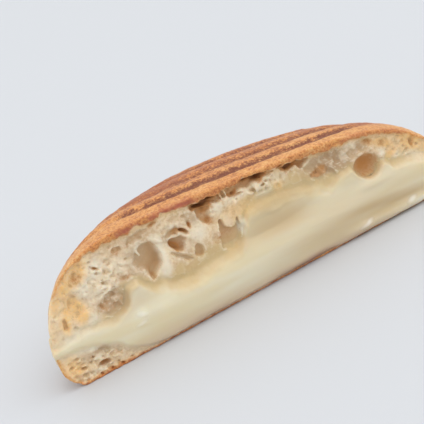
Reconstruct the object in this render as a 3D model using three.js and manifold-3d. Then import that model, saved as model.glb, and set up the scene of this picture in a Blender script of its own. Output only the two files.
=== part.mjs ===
// Half of a pressed and grilled cheese roll, cut lengthwise, lying on its base.
// Three solids: the crown of the roll (top_bread), the melted cheese that runs through
// it and down over the cut, and the heel of the roll that it stands on (bottom_bread).
// Millimetres, +Z up. X runs along the cut, the cut faces -Y, and the origin is
// below the middle of the half, on the surface that it stands on.

import * as THREE from "three";
import { mergeVertices } from "three/addons/utils/BufferGeometryUtils.js";
import Module from "manifold-3d";

const wasm = await Module();
wasm.setup();

// ---- Driving dimensions -------------------------------------------------

const HALF_LENGTH = 75.3; // middle to tip, along the cut
const DEPTH = 56; // cut to the back of the roll
const SLANT = 0.24; // the cut runs aslant: the roll shifts towards +X by this share of the depth
const PLAN_POWER = 1.95; // roundness of the roll's plan: 2 is an ellipse, less is more pointed
const SEAM_HEIGHT = 15; // widest level of the roll, at mid-length
const CROWN_RISE = 24.4; // seam to the top of the crown, at mid-length
const SEAM_FALL = 0.02; // the seam drops this much for each millimetre towards +X
const RISE_FALL = 0.056; // and so does the crown's rise: the roll is thinner to the right
const CHEESE_SLOPE = 0.018; // fall of the sliced face of the heel towards +X
const HEEL_HEIGHT = 11.5; // sliced face of the heel, at mid-length
const LAYER = 5.5; // cheese between the two sliced faces, well inside
const RIM_THINNING = 0.45; // share of that layer that the press squeezes away at the rim
const HEEL_TUCK = 0.07; // how far the heel's side tucks in at the base, as a share
const HEEL_ROUND = 9; // height over which it tucks in
const TUCK_POWER = 2.2; // how sharply
const GAP = 0.3; // clearance between two neighbouring solids
const LEAST_CRUST = 0.6; // where the crown thins out to nothing at the rim
const RIM_POWER = 8; // and how near the rim that happens
const RIM_BULGE = 0.5; // cheese squeezed out at the back
const CRAG = 0.5; // height of the torn crumb's crags
const CRAG_LIMIT = 0.04; // and their limit where the roll is shallow, as a share of its depth

const RIB_PITCH = 9.4; // distance between the press plate's ribs
const RIB_FIRST = 7.4; // first rib's groove, behind the cut
const RIB_COUNT = 5;
const GROOVE_HALF_TOP = 3.2; // half the width of a groove at its lips
const GROOVE_HALF_FLOOR = 0.8; // and at its floor
const GROOVE_DEPTH = 1.3;
const EDGE_DIP = 0.4; // the knife presses the crust down at the cut
const EDGE_DIP_REACH = 3;
const FACE_BLEND = 12; // behind the cut, the cheese falls back to its layer over this depth

// How steeply the crown rounds off towards each side: a power of the distance
// from the middle, and a power of the height.
const ROUNDING = {
  left: { out: 6.4, up: 1.38 },
  right: { out: 5.25, up: 1.01 },
  back: { out: 3.2, up: 1.55 },
};
const TURN_POWER = 0.3; // the back's rounding takes over quickly behind the cut

const SIDE_BLEND = 0.4; // left turns into right over this share of the length, about the middle

// Upper and lower edge of the cheese on the cut, as [x, z].
const CHEESE_TOP = [
  [-75.3, 17.2], [-62, 17.8], [-51, 17], [-46.5, 24], [-43, 24.4], [-37, 20.8], [-26, 18.9],
  [-17, 20.5], [-7, 20.7], [-1, 28], [5, 30.2], [12, 29.6], [20, 27.6], [31, 23.4], [38, 25],
  [42.5, 18.6], [47, 18.4], [50, 20.4], [57, 19.2], [65, 17.8], [75.3, 12.6],
];
const CHEESE_FOOT = [
  [-75.3, 12.4], [-66, 11.6], [-60, 8.5], [-54, 3], [-50, 1], [-42, 0.6], [61, 0.6],
  [67, 2.5], [71, 6], [75.3, 9.6],
];

// Swell of the cheese in front of the cut, with its long rolls and hollows. A roll lies
// at `height` at mid-length, and falls towards +X.
const SWELL = 0.9;
const SWELL_LIMIT = 0.5; // and how little of it is left in the deepest fold
const ROLLS = [
  { height: 13.5, fall: 0, spread: 5.5, swell: 1.7, from: -72, to: 80 },
  { height: 20.2, fall: 0, spread: 2.6, swell: -1, from: -8, to: 21 },
  { height: 14.6, fall: 0.14, spread: 1.4, swell: -0.8, from: 28, to: 66 },
  { height: 4.2, fall: 0, spread: 2.3, swell: 0.9, from: 30, to: 68 },
];
const ROLL_END = 6; // a roll swells up over this length

// Large gas cells opened by the knife: centre on the cut, half width, half height,
// depth behind the cut, and turn in degrees.
const CROWN_CELLS = [
  { x: -37.0, z: 27.6, across: 4.7, up: 5.2, deep: 4.8, turn: 14 },
  { x: -26.6, z: 28.6, across: 3.5, up: 2.9, deep: 4.0, turn: -20 },
  { x: -20.7, z: 22.8, across: 1.8, up: 2.3, deep: 2.2, turn: -8 },
  { x: -16.3, z: 32.5, across: 1.8, up: 2.6, deep: 2.8, turn: 14 },
  { x: -14.2, z: 35.9, across: 4.2, up: 1.0, deep: 4.6, turn: -8 },
  { x: -8.6, z: 23.6, across: 3.8, up: 2.8, deep: 3.2, turn: -6 },
  { x: 1.2, z: 35.6, across: 7.4, up: 1.3, deep: 2.8, turn: 0 },
  { x: 18.0, z: 34.5, across: 3.6, up: 1.5, deep: 2.6, turn: -8 },
  { x: 44.4, z: 22.2, across: 4.8, up: 4.0, deep: 6.5, turn: 0 },
  { x: 47.2, z: 29.5, across: 2.1, up: 1.3, deep: 2.4, turn: -30 },
  { x: 52.4, z: 27.3, across: 2.2, up: 0.9, deep: 1.8, turn: -28 },
  { x: 63.7, z: 22.3, across: 1.4, up: 2.1, deep: 2.0, turn: -6 },
  { x: -45.5, z: 35.2, across: 1.7, up: 0.9, deep: 1.8, turn: -4 },
  { x: -59.6, z: 33.2, across: 2.2, up: 1.2, deep: 1.8, turn: -6 },
  { x: -63.8, z: 25.2, across: 2.4, up: 3.4, deep: 1.4, turn: 14 },
  { x: -68.4, z: 21.0, across: 1.2, up: 2.2, deep: 1.6, turn: 6 },
];
const HEEL_CELLS = [
  { x: -61.6, z: 3.6, across: 2.2, up: 1.2, deep: 2.6, turn: -8 },
];

const COLOURS = {
  crown: { color: 0xc98248, roughness: 0.7, metalness: 0 },
  cheese: { color: 0xe3d5ab, roughness: 0.35, metalness: 0 },
  heel: { color: 0xd0a873, roughness: 0.75, metalness: 0 },
};

// How finely the solids are cut into facets.
const STATIONS = 46;
const TIP_SHARE = 0.995; // the outermost station, as a share of HALF_LENGTH
const FACE_STEPS = 7;
const FLOW_STEPS = 15;
const SEAM_SHARES = [0.06, 0.1, 0.15, 0.21, 0.3, 0.5, 0.7, 0.85, 0.94, 1];
const SIDE_STEPS = 5;
const FLAT_STEPS = 4;
const RIM_SHARES = [0.93, 0.965, 0.986, 0.997, 1];
const CELL_SIDES = 14;

// ---- Shape of the roll --------------------------------------------------

const clamp = (v, low, high) => Math.min(high, Math.max(low, v));
const mix = (a, b, t) => a + (b - a) * t;
const smooth = (low, high, v) => {
  const t = clamp((v - low) / (high - low), 0, 1);
  return t * t * (3 - 2 * t);
};
const steps = (count) => Array.from({ length: count + 1 }, (_, i) => i / count);

// Value of a curve given by points, eased from one point to the next.
function along(points, x) {
  const last = points.length - 1;
  if (x <= points[0][0]) return points[0][1];
  if (x >= points[last][0]) return points[last][1];
  const i = points.findIndex(([px]) => px > x);
  const [x0, v0] = points[i - 1];
  const [x1, v1] = points[i];
  return mix(v0, v1, smooth(x0, x1, x));
}

// Here and below, x is measured where a slanting section starts, on the cut.
// How far out a point of the plan is: 0 in the middle of the cut, 1 at the rim.
const outward = (x, y) =>
  ((Math.abs(x) / HALF_LENGTH) ** PLAN_POWER + (Math.max(y, 0) / DEPTH) ** PLAN_POWER) **
  (1 / PLAN_POWER);

// Depth of the plan behind the cut at x, for a plan scaled by `scale`.
function planDepth(x, scale = 1) {
  const left = 1 - (Math.abs(x) / (HALF_LENGTH * scale)) ** PLAN_POWER;
  return left <= 0 ? 0 : DEPTH * scale * left ** (1 / PLAN_POWER);
}

const seamHeight = (x) => SEAM_HEIGHT - SEAM_FALL * x;

// Grooves that the press plate's ribs leave, fading where the crown falls away.
function grooveDepth(x, y) {
  const fade = 1 - smooth(0.72, 0.97, outward(x, y));
  const depths = Array.from({ length: RIB_COUNT }, (_, i) => {
    const off = Math.abs(y - RIB_FIRST - i * RIB_PITCH);
    return 1 - smooth(GROOVE_HALF_FLOOR, GROOVE_HALF_TOP, off);
  });
  return GROOVE_DEPTH * fade * Math.max(...depths);
}

function crownTop(x, y) {
  const rightward = smooth(-SIDE_BLEND, SIDE_BLEND, x / HALF_LENGTH);
  const side = {
    out: mix(ROUNDING.left.out, ROUNDING.right.out, rightward),
    up: mix(ROUNDING.left.up, ROUNDING.right.up, rightward),
  };
  const u = (x / HALF_LENGTH) ** 2;
  const v = (y / DEPTH) ** 2;
  const turned = u + v > 0 ? (v / (u + v)) ** TURN_POWER : 0;
  const out = mix(side.out, ROUNDING.back.out, turned);
  const up = mix(side.up, ROUNDING.back.up, turned);
  const rise = CROWN_RISE - RISE_FALL * x;
  const left = clamp(1 - outward(x, y) ** out, 0, 1);
  const dip = EDGE_DIP * Math.exp(-((y / EDGE_DIP_REACH) ** 2));
  return seamHeight(x) + rise * left ** (1 / up) - dip - grooveDepth(x, y);
}

// Sliced faces that hold the cheese: the heel's, and the crown's.
const heelFace = (x) => HEEL_HEIGHT - CHEESE_SLOPE * x;
function crownFace(x, y) {
  const inside = heelFace(x) + LAYER * (1 - RIM_THINNING * outward(x, y) ** RIM_POWER);
  return mix(along(CHEESE_TOP, x), inside, smooth(0, FACE_BLEND, y));
}

// Scale of the heel's plan at height z, and the height at which its side reaches x.
const heelScale = (z) => 1 - HEEL_TUCK * clamp(1 - z / HEEL_ROUND, 0, 1) ** TUCK_POWER;
function heelFoot(x) {
  const missing = (1 - Math.abs(x) / HALF_LENGTH) / HEEL_TUCK;
  return missing >= 1 ? 0 : HEEL_ROUND * (1 - Math.max(missing, 0) ** (1 / TUCK_POWER));
}

// Crags left where the crumb tears in front of the knife: two crossing ripples.
const crag = (x, z) =>
  CRAG * (1.1 + 0.6 * Math.sin(0.83 * x + 1.1 * z) + 0.5 * Math.sin(1.15 * x - 0.8 * z + 1.3));

// How far the cheese swells in front of the cut.
function swellAt(x, z) {
  const rolls = ROLLS.map(({ height, fall, spread, swell, from, to }) => {
    const begun = smooth(from - ROLL_END, from + ROLL_END, x);
    const ended = smooth(to - ROLL_END, to + ROLL_END, x);
    const across = Math.exp(-(((z - height + fall * x) / spread) ** 2));
    return swell * begun * (1 - ended) * across;
  });
  const drift = 0.25 * Math.sin(0.11 * x + 0.17 * z) + 0.12 * Math.sin(0.29 * x - 0.1 * z + 2);
  return Math.max(SWELL + drift + rolls.reduce((sum, roll) => sum + roll, 0), SWELL_LIMIT);
}

// ---- Cross-sections: closed rings of [y, z] from one x on the cut ----------

// Places across the crown, on the lips and floors of the grooves, then out to the rim.
function crownRows(x) {
  const reach = planDepth(x);
  const lips = Array.from({ length: RIB_COUNT }, (_, i) => RIB_FIRST + i * RIB_PITCH).flatMap((y) =>
    [-GROOVE_HALF_TOP, -GROOVE_HALF_FLOOR, GROOVE_HALF_FLOOR, GROOVE_HALF_TOP].map((d) => y + d),
  );
  const fixed = lips.filter((y) => y > GROOVE_HALF_FLOOR);
  const spacing = (RIM_SHARES[0] * reach) / (fixed.length + 1);
  const inner = fixed.map((y, i) => Math.min(y, spacing * (i + 1)));
  return [...inner, ...RIM_SHARES.map((share) => share * reach)];
}

// How far the crown's crumb stands behind the cut at height z.
const cutFace = (x, z) => Math.min(crag(x, z), CRAG_LIMIT * planDepth(x));

// Seam of the crown and the cheese, from the cut to the rim, as [y, z].
function crownSeam(x) {
  const reach = planDepth(x);
  const inside = SEAM_SHARES.map((share) => [share * reach, crownFace(x, share * reach)]);
  return [[cutFace(x, along(CHEESE_TOP, x)), along(CHEESE_TOP, x)], ...inside];
}

function crownRing(x) {
  const reach = planDepth(x);
  const foot = along(CHEESE_TOP, x) + GAP / 2;
  const top = Math.max(crownTop(x, 0), foot + LEAST_CRUST);
  const face = steps(FACE_STEPS).slice(1).map((t) => {
    const z = mix(foot, top, t);
    return [cutFace(x, z), z];
  });
  const crust = crownRows(x).map((y) => [
    y,
    Math.max(crownTop(x, y), crownFace(x, y) + GAP / 2 + LEAST_CRUST),
  ]);
  const under = crownSeam(x).map(([y, z]) => [y, z + GAP / 2]);
  return [...face, ...crust, ...under.reverse()];
}

function cheeseRing(x) {
  const reach = planDepth(x);
  const foot = along(CHEESE_FOOT, x);
  const head = along(CHEESE_TOP, x) - GAP / 2;
  const floor = heelFace(x) + GAP / 2;
  const front = steps(FLOW_STEPS).map((t) => {
    const z = mix(foot, head, t);
    return [-swellAt(x, z), z];
  });
  const top = crownSeam(x).map(([y, z]) => [y, z - GAP / 2]);
  const rim = [reach + RIM_BULGE, (top.at(-1)[1] + floor) / 2];
  const bottom = steps(FLAT_STEPS).map((t) => [mix(reach, 0, t), floor]);
  const behind = [0.4, 0.8].map((t) => [0, mix(floor, foot, t)]);
  return [...front, ...top, rim, ...bottom, ...behind, [-SWELL_LIMIT / 2, foot]];
}

function heelRing(x) {
  const low = heelFoot(x);
  const high = heelFace(x) - GAP / 2;
  const depthAt = (z) => Math.max(planDepth(x, heelScale(z)), GAP + LEAST_CRUST);
  const base = steps(FLAT_STEPS).map((t) => [mix(GAP, depthAt(low), t), low]);
  const side = steps(SIDE_STEPS)
    .slice(1)
    .map((t) => mix(low, high, t))
    .map((z) => [depthAt(z), z]);
  const sliced = steps(FLAT_STEPS)
    .slice(1)
    .map((t) => [mix(depthAt(high), GAP, t), high]);
  const cut = [0.75, 0.5, 0.25].map((t) => {
    const z = mix(low, high, t);
    return [GAP + cutFace(x, z), z];
  });
  return [...base, ...side, ...sliced, ...cut];
}

// ---- Solids -------------------------------------------------------------

const STATION_XS = steps(STATIONS).map((t) => {
  const widest = Math.asin(TIP_SHARE);
  return HALF_LENGTH * Math.sin(mix(-widest, widest, t));
});

// Skin over the rings at each station, with both ends closed. Each four-sided patch is
// split along its shorter diagonal, so two facing surfaces are split alike.
function loft(xs, ringAt) {
  const rings = xs.map((x) => ringAt(x));
  const size = rings[0].length;
  const positions = rings.flatMap((ring, i) =>
    ring.flatMap(([y, z]) => [xs[i] + SLANT * Math.max(y, 0), y, z]),
  );
  const corner = (i) => new THREE.Vector3().fromArray(positions, 3 * i);
  const index = [];
  for (let i = 0; i + 1 < rings.length; i += 1) {
    for (let j = 0; j < size; j += 1) {
      const a = i * size + j;
      const b = i * size + ((j + 1) % size);
      const across = (from, to) => corner(from).distanceToSquared(corner(to));
      if (across(b, a + size) < across(a, b + size)) {
        index.push(a, a + size, b, b, a + size, b + size);
      } else {
        index.push(a, a + size, b + size, a, b + size, b);
      }
    }
  }
  const close = (i, flip) => {
    const hub = positions.length / 3;
    const middle = (axis) => rings[i].reduce((sum, point) => sum + point[axis], 0) / size;
    positions.push(xs[i] + SLANT * Math.max(middle(0), 0), middle(0), middle(1));
    for (let j = 0; j < size; j += 1) {
      const edge = [i * size + j, i * size + ((j + 1) % size)];
      index.push(hub, ...(flip ? edge.reverse() : edge));
    }
  };
  close(0, false);
  close(rings.length - 1, true);
  return new THREE.BufferGeometry()
    .setAttribute("position", new THREE.Float32BufferAttribute(positions, 3))
    .setIndex(index);
}

function solidFrom(geometry) {
  const bare = geometry.clone();
  bare.deleteAttribute("normal");
  bare.deleteAttribute("uv");
  const merged = mergeVertices(bare, 1e-4);
  const triVerts = new Uint32Array(merged.index.array);
  const make = () =>
    new wasm.Manifold(
      new wasm.Mesh({ numProp: 3, vertProperties: merged.attributes.position.array, triVerts }),
    );
  const made = make();
  if (made.volume() > 0) return made;
  for (let i = 0; i < triVerts.length; i += 3) {
    [triVerts[i + 1], triVerts[i + 2]] = [triVerts[i + 2], triVerts[i + 1]];
  }
  return make();
}

function geometryFrom(solid) {
  const { vertProperties, triVerts } = solid.getMesh();
  const geometry = new THREE.BufferGeometry()
    .setAttribute("position", new THREE.BufferAttribute(new Float32Array(vertProperties), 3))
    .setIndex(new THREE.BufferAttribute(new Uint32Array(triVerts), 1));
  geometry.computeVertexNormals();
  return geometry;
}

// An egg-shaped cell with its widest section on the cut.
function cellSolid({ x, z, across, up, deep, turn }) {
  const geometry = new THREE.SphereGeometry(1, CELL_SIDES, CELL_SIDES / 2)
    .rotateX(Math.PI / 2)
    .scale(across, deep, up)
    .rotateY(THREE.MathUtils.degToRad(-turn))
    .translate(x, 0, z);
  return solidFrom(geometry);
}

// The loft with its cells opened. Crumb that a cell cuts loose is dropped.
function withCells(ringAt, cells) {
  const opened = cells.reduce(
    (body, cell) => body.subtract(cellSolid(cell)),
    solidFrom(loft(STATION_XS, ringAt)),
  );
  const [largest] = opened.decompose().sort((a, b) => b.volume() - a.volume());
  return largest;
}

function piece(name, solid, look) {
  const mesh = new THREE.Mesh(geometryFrom(solid), new THREE.MeshStandardMaterial(look));
  mesh.name = name;
  return mesh;
}

const roll = new THREE.Group();
roll.add(piece("top_bread", withCells(crownRing, CROWN_CELLS), COLOURS.crown));
roll.add(piece("cheese", withCells(cheeseRing, []), COLOURS.cheese));
roll.add(piece("bottom_bread", withCells(heelRing, HEEL_CELLS), COLOURS.heel));

// The roll is modelled from the cut, and set down with its middle over the origin.
const extent = new THREE.Box3().setFromObject(roll);
roll.position.set(
  -(extent.min.x + extent.max.x) / 2,
  -(extent.min.y + extent.max.y) / 2,
  -extent.min.z,
);

export default roll;
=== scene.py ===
"""Half of a pressed and grilled cheese roll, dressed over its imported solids.

The forms are worked out in millimetres in the frame of the cut: x runs along the cut
from its middle, y goes back into the roll from the cut, and z is the height above the
surface that the roll lies on. Each piece is a volume on a fine lattice, turned into a
mesh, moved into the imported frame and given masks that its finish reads.
"""

from __future__ import annotations

import enum
import logging
import math
from abc import ABC, abstractmethod
from collections.abc import Callable
from dataclasses import dataclass, field

import bpy
import numpy as np
import openvdb
from mathutils import Matrix, Vector

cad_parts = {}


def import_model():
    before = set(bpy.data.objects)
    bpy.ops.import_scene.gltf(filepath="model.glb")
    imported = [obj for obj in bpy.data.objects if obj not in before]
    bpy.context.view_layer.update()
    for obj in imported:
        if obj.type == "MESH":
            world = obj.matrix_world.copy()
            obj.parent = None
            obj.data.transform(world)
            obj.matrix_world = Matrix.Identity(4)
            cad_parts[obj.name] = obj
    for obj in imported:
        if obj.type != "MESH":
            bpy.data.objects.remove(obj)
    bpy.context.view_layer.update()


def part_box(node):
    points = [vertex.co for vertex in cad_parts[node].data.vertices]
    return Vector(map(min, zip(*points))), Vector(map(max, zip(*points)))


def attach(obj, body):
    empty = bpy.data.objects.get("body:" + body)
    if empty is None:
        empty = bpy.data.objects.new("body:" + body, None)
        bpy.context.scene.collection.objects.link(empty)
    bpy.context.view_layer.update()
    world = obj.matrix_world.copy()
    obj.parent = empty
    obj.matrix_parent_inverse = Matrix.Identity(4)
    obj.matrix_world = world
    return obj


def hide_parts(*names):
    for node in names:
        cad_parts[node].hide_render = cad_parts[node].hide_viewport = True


MM = 0.001
TINY = 1e-9
Array = np.ndarray
Color = tuple[float, float, float, float]

log = logging.getLogger("grilled_roll")


# ---- Arithmetic ----


def srgb(red: int, green: int, blue: int) -> Color:
    """Turns a colour as seen on a screen into the linear values that a shader takes.

    Args:
        red: 0 to 255.
        green: 0 to 255.
        blue: 0 to 255.

    Returns:
        The linear colour with full alpha.
    """

    def linear(value: int) -> float:
        """One channel, linear."""
        v = value / 255
        return v / 12.92 if v <= 0.04045 else ((v + 0.055) / 1.055) ** 2.4

    return (linear(red), linear(green), linear(blue), 1.0)


def smooth(low: float, high: float, value: Array) -> Array:
    """Eases from 0 at `low` to 1 at `high`."""
    t = np.clip((value - low) / (high - low), 0, 1)
    return t * t * (3 - 2 * t)


def mix(a: Array | float, b: Array | float, share: Array | float) -> Array:
    """The value that lies `share` of the way from a to b."""
    return a + (b - a) * share


def eased_curve(points: tuple[tuple[float, float], ...], x: Array) -> Array:
    """Follows a smooth curve through points, without swinging past any of them.

    Args:
        points: The curve's (x, value) points, from left to right.
        x: Where it is read.

    Returns:
        The curve's value at each x.
    """
    px, pv = np.array(points, float).T
    rise = np.diff(pv) / np.diff(px)
    before, after = rise[:-1], rise[1:]
    turns = before * after <= 0
    inner = np.where(turns, 0.0, 2 * before * after / np.where(turns, 1.0, before + after))
    slope = np.concatenate(([0.0], inner, [0.0]))
    i = np.clip(np.searchsorted(px, x, side="right") - 1, 0, len(px) - 2)
    span = px[i + 1] - px[i]
    t = np.clip((x - px[i]) / span, 0, 1)
    eased = smooth(0, 1, t)
    leaving, arriving = slope[i] * span * t * (1 - t) ** 2, slope[i + 1] * span * t * t * (1 - t)
    return mix(pv[i], pv[i + 1], eased) + leaving - arriving


def soft_max(a: Array, b: Array, round_off: float) -> Array:
    """The larger of two fields, with the edge between them rounded off."""
    h = np.clip(0.5 + 0.5 * (a - b) / round_off, 0, 1)
    return mix(b, a, h) + round_off * h * (1 - h)


NOISE_VALUES = 4096
NOISE_FALLOFF = 0.55
OCTAVE_SHIFT = 1013
LATTICE_PRIMES = (73856093, 19349663, 83492791)


@dataclass(frozen=True)
class Noise:
    """A smooth random field with a seed of its own, between -amount and amount.

    A pace below 1 draws its lumps out along that axis.
    """

    seed: int
    size: float
    octaves: int = 1
    amount: float = 1.0
    pace: tuple[float, float, float] = (1.0, 1.0, 1.0)

    def at(self, *places: Array) -> Array:
        """Reads the field.

        Args:
            places: One array for each axis, in millimetres.

        Returns:
            The field at those places.
        """
        table = np.random.default_rng(self.seed).uniform(-1, 1, NOISE_VALUES)
        paced = [place * pace for place, pace in zip(places, self.pace)]
        total: Array | float = 0.0
        weight = 0.0
        for octave in range(self.octaves):
            step = self.size / 2**octave
            share = NOISE_FALLOFF**octave
            total = total + share * self._lattice(table, octave, [p / step for p in paced])
            weight += share
        return self.amount * (total / weight)

    def _lattice(self, table: Array, octave: int, places: list[Array]) -> Array:
        """One octave: random values at whole numbers, eased between them.

        Args:
            table: The random values.
            octave: Its number, which shifts the values.
            places: Coordinates in lattice steps.

        Returns:
            The octave's value.
        """
        whole = [np.floor(p).astype(np.int64) for p in places]
        ease = [smooth(0, 1, p - w) for p, w in zip(places, whole)]
        total: Array | float = 0.0
        for corner in range(2 ** len(places)):
            key = np.int64(octave * OCTAVE_SHIFT)
            weight: Array | float = 1.0
            for axis, (w, e) in enumerate(zip(whole, ease)):
                bit = corner >> axis & 1
                key = key ^ ((w + bit) * LATTICE_PRIMES[axis])
                weight = weight * (e if bit else 1 - e)
            total = total + weight * table[key & (NOISE_VALUES - 1)]
        return total


# ---- The roll's own form ----


@dataclass(frozen=True)
class Rounding:
    """How a side of the crown rounds off: a power of the distance and one of the height."""

    out: float
    up: float


@dataclass(frozen=True)
class RollForm:
    """The envelope of the roll, as its solids have it, in millimetres."""

    half_length: float = 75.3
    depth: float = 56.0
    slant: float = 0.24
    plan_power: float = 1.95
    seam_height: float = 15.0
    seam_fall: float = 0.02
    crown_rise: float = 24.4
    rise_fall: float = 0.056
    heel_height: float = 11.5
    cheese_slope: float = 0.018
    layer: float = 5.5
    rim_thinning: float = 0.45
    rim_power: float = 8.0
    heel_tuck: float = 0.07
    heel_round: float = 9.0
    tuck_power: float = 2.2
    gap: float = 0.3
    tip_share: float = 0.995
    rib_pitch: float = 9.4
    rib_first: float = 7.4
    rib_count: int = 5
    groove_half_top: float = 3.2
    groove_half_floor: float = 0.8
    groove_depth: float = 1.3
    groove_fade: tuple[float, float] = (0.72, 0.97)
    edge_dip: float = 0.4
    edge_dip_reach: float = 3.0
    face_blend: float = 12.0
    turn_power: float = 0.3
    side_blend: float = 0.4
    left: Rounding = Rounding(6.4, 1.38)
    right: Rounding = Rounding(5.25, 1.01)
    back: Rounding = Rounding(3.2, 1.55)

    def outward(self, x: Array, y: Array) -> Array:
        """How far out a point of the plan is.

        Args:
            x: Place along the cut.
            y: Place behind it.

        Returns:
            0 in the middle of the cut, 1 at the rim.
        """
        along = np.abs(x - self.slant * np.maximum(y, 0)) / self.half_length
        back = np.maximum(y, 0) / self.depth
        power = self.plan_power
        return (along**power + back**power) ** (1 / power)

    def groove(self, x: Array, y: Array) -> Array:
        """Where the press plate's ribs have pressed, 0 to 1, fading towards the rim."""
        nearest = np.full(np.broadcast(x, y).shape, np.inf)
        for i in range(self.rib_count):
            nearest = np.minimum(nearest, np.abs(y - self.rib_first - i * self.rib_pitch))
        fade = 1 - smooth(*self.groove_fade, self.outward(x, y))
        return fade * (1 - smooth(self.groove_half_floor, self.groove_half_top, nearest))

    def crown_top(self, x: Array, y: Array) -> Array:
        """Height of the crown's crust, without its grooves.

        Args:
            x: Place along the cut.
            y: Place behind it.

        Returns:
            The height in millimetres.
        """
        start = x - self.slant * np.maximum(y, 0)
        rightward = smooth(-self.side_blend, self.side_blend, start / self.half_length)
        u = (start / self.half_length) ** 2
        v = (y / self.depth) ** 2
        backward = (v / np.maximum(u + v, TINY)) ** self.turn_power
        out = mix(mix(self.left.out, self.right.out, rightward), self.back.out, backward)
        up = mix(mix(self.left.up, self.right.up, rightward), self.back.up, backward)
        inside = np.clip(1 - self.outward(x, y) ** out, 0, 1)
        dip = self.edge_dip * np.exp(-((y / self.edge_dip_reach) ** 2))
        rise = self.crown_rise - self.rise_fall * start
        return self.seam_height - self.seam_fall * start + rise * inside ** (1 / up) - dip

    def heel_face(self, x: Array) -> Array:
        """Height of the heel's sliced face."""
        return self.heel_height - self.cheese_slope * x

    def crown_face(self, x: Array, y: Array, at_cut: Array) -> Array:
        """Height of the crown's sliced face.

        Args:
            x: Place along the cut.
            y: Place behind it.
            at_cut: Its height on the cut.

        Returns:
            The height in millimetres.
        """
        thinned = 1 - self.rim_thinning * self.outward(x, y) ** self.rim_power
        inside = self.heel_face(x) + self.layer * thinned
        return mix(at_cut, inside, smooth(0, self.face_blend, y))

    def heel_scale(self, z: Array) -> Array:
        """Share of the plan that the heel still fills at a height."""
        tuck = np.clip(1 - z / self.heel_round, 0, 1) ** self.tuck_power
        return 1 - self.heel_tuck * tuck


ROLL = RollForm()

# ---- Marks on the cut ----


@dataclass(frozen=True)
class Patch:
    """A soft oval on the cut: a swelling, a hollow or a stain of some strength."""

    x: float
    z: float
    across: float
    up: float
    amount: float
    turn: float = 0.0

    def at(self, x: Array, z: Array) -> Array:
        """Its amount at places on the cut, fading to nothing round the middle."""
        u, w = turned(self, x, z)
        return self.amount * np.exp(-((u * u + w * w) ** 1.5))


@dataclass(frozen=True)
class Pocket:
    """A gas cell that the knife has opened: an egg with a wobbling wall."""

    x: float
    z: float
    across: float
    up: float
    deep: float
    turn: float = 0.0
    y: float = 0.0
    wobble: float = 0.16


@dataclass(frozen=True)
class Strand:
    """A web of crumb or cheese left standing between two places near the cut."""

    start: tuple[float, float, float]
    end: tuple[float, float, float]
    thick: float


def turned(shape: Patch | Pocket, x: Array, z: Array) -> tuple[Array, Array]:
    """Places on the cut, measured from an oval's middle in its own half sizes.

    Args:
        shape: The oval.
        x: Places along the cut.
        z: Heights.

    Returns:
        How far along the oval and how far up, 1 at its edge.
    """
    c, s = math.cos(math.radians(shape.turn)), math.sin(math.radians(shape.turn))
    u = ((x - shape.x) * c + (z - shape.z) * s) / shape.across
    w = (-(x - shape.x) * s + (z - shape.z) * c) / shape.up
    return u, w


def patched(table: tuple[Patch, ...], x: Array, z: Array) -> Array:
    """The sum of a table's patches at places on the cut."""
    return sum((p.at(x, z) for p in table), np.zeros(np.broadcast(x, z).shape))


def patches(*rows: tuple[float, ...]) -> tuple[Patch, ...]:
    """Patches from rows of x, z, across, up, amount and, if it isn't 0, turn."""
    return tuple(Patch(*row) for row in rows)


@dataclass(frozen=True)
class Hollow:
    """A large cell that the knife has laid open, with an outline of its own."""

    outline: tuple[tuple[float, float], ...]
    deep: float
    wall: float
    tilt: tuple[float, float] = (0.0, 0.0)
    least: float = 0.2

    def inside(self, x: Array, z: Array) -> Array:
        """How far places lie inside the outline.

        Args:
            x: Places along the cut.
            z: Heights.

        Returns:
            The distance from the outline, below zero outside it.
        """
        nearest = np.full(np.broadcast(x, z).shape, np.inf)
        within = np.zeros(nearest.shape, bool)
        for (ax, az), (bx, bz) in zip(self.outline, self.outline[1:] + self.outline[:1]):
            run, rise = bx - ax, bz - az
            along = np.clip(((x - ax) * run + (z - az) * rise) / (run**2 + rise**2), 0, 1)
            gap = (x - ax - along * run) ** 2 + (z - az - along * rise) ** 2
            nearest = np.minimum(nearest, gap)
            passed = ((az > z) != (bz > z)) & (x < ax + run * (z - az) / (rise or 1.0))
            within = within ^ passed
        return np.where(within, 1, -1) * np.sqrt(nearest)

    def depth(self, x: Array, z: Array, ragged: Array) -> Array:
        """How deep the cell is.

        Args:
            x: Places along the cut.
            z: Heights.
            ragged: How far its outline is shifted there.

        Returns:
            The depth in millimetres, 0 outside the cell.
        """
        steep = 1 - np.clip((self.inside(x, z) + ragged) / self.wall, 0, 1)
        middle = np.mean(self.outline, axis=0)
        floor = self.deep + self.tilt[0] * (x - middle[0]) + self.tilt[1] * (z - middle[1])
        return np.maximum(floor, self.least) * (1 - steep**2)


@dataclass(frozen=True)
class Sheet:
    """Values on an even grid over the cut, read off smoothly in between."""

    corner: tuple[float, float]
    pitch: tuple[float, float]
    values: Array

    def at(self, x: Array, z: Array) -> Array:
        """Reads the sheet.

        Args:
            x: Places along the cut.
            z: Heights.

        Returns:
            The values there.
        """
        last = [count - 1.001 for count in self.values.shape]
        u = np.clip((x - self.corner[0]) / self.pitch[0], 0, last[0])
        w = np.clip((z - self.corner[1]) / self.pitch[1], 0, last[1])
        u, w = np.broadcast_arrays(u, w)
        i, k = u.astype(int), w.astype(int)
        low = mix(self.values[i, k], self.values[i + 1, k], u - i)
        high = mix(self.values[i, k + 1], self.values[i + 1, k + 1], u - i)
        return mix(low, high, w - k)


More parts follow.
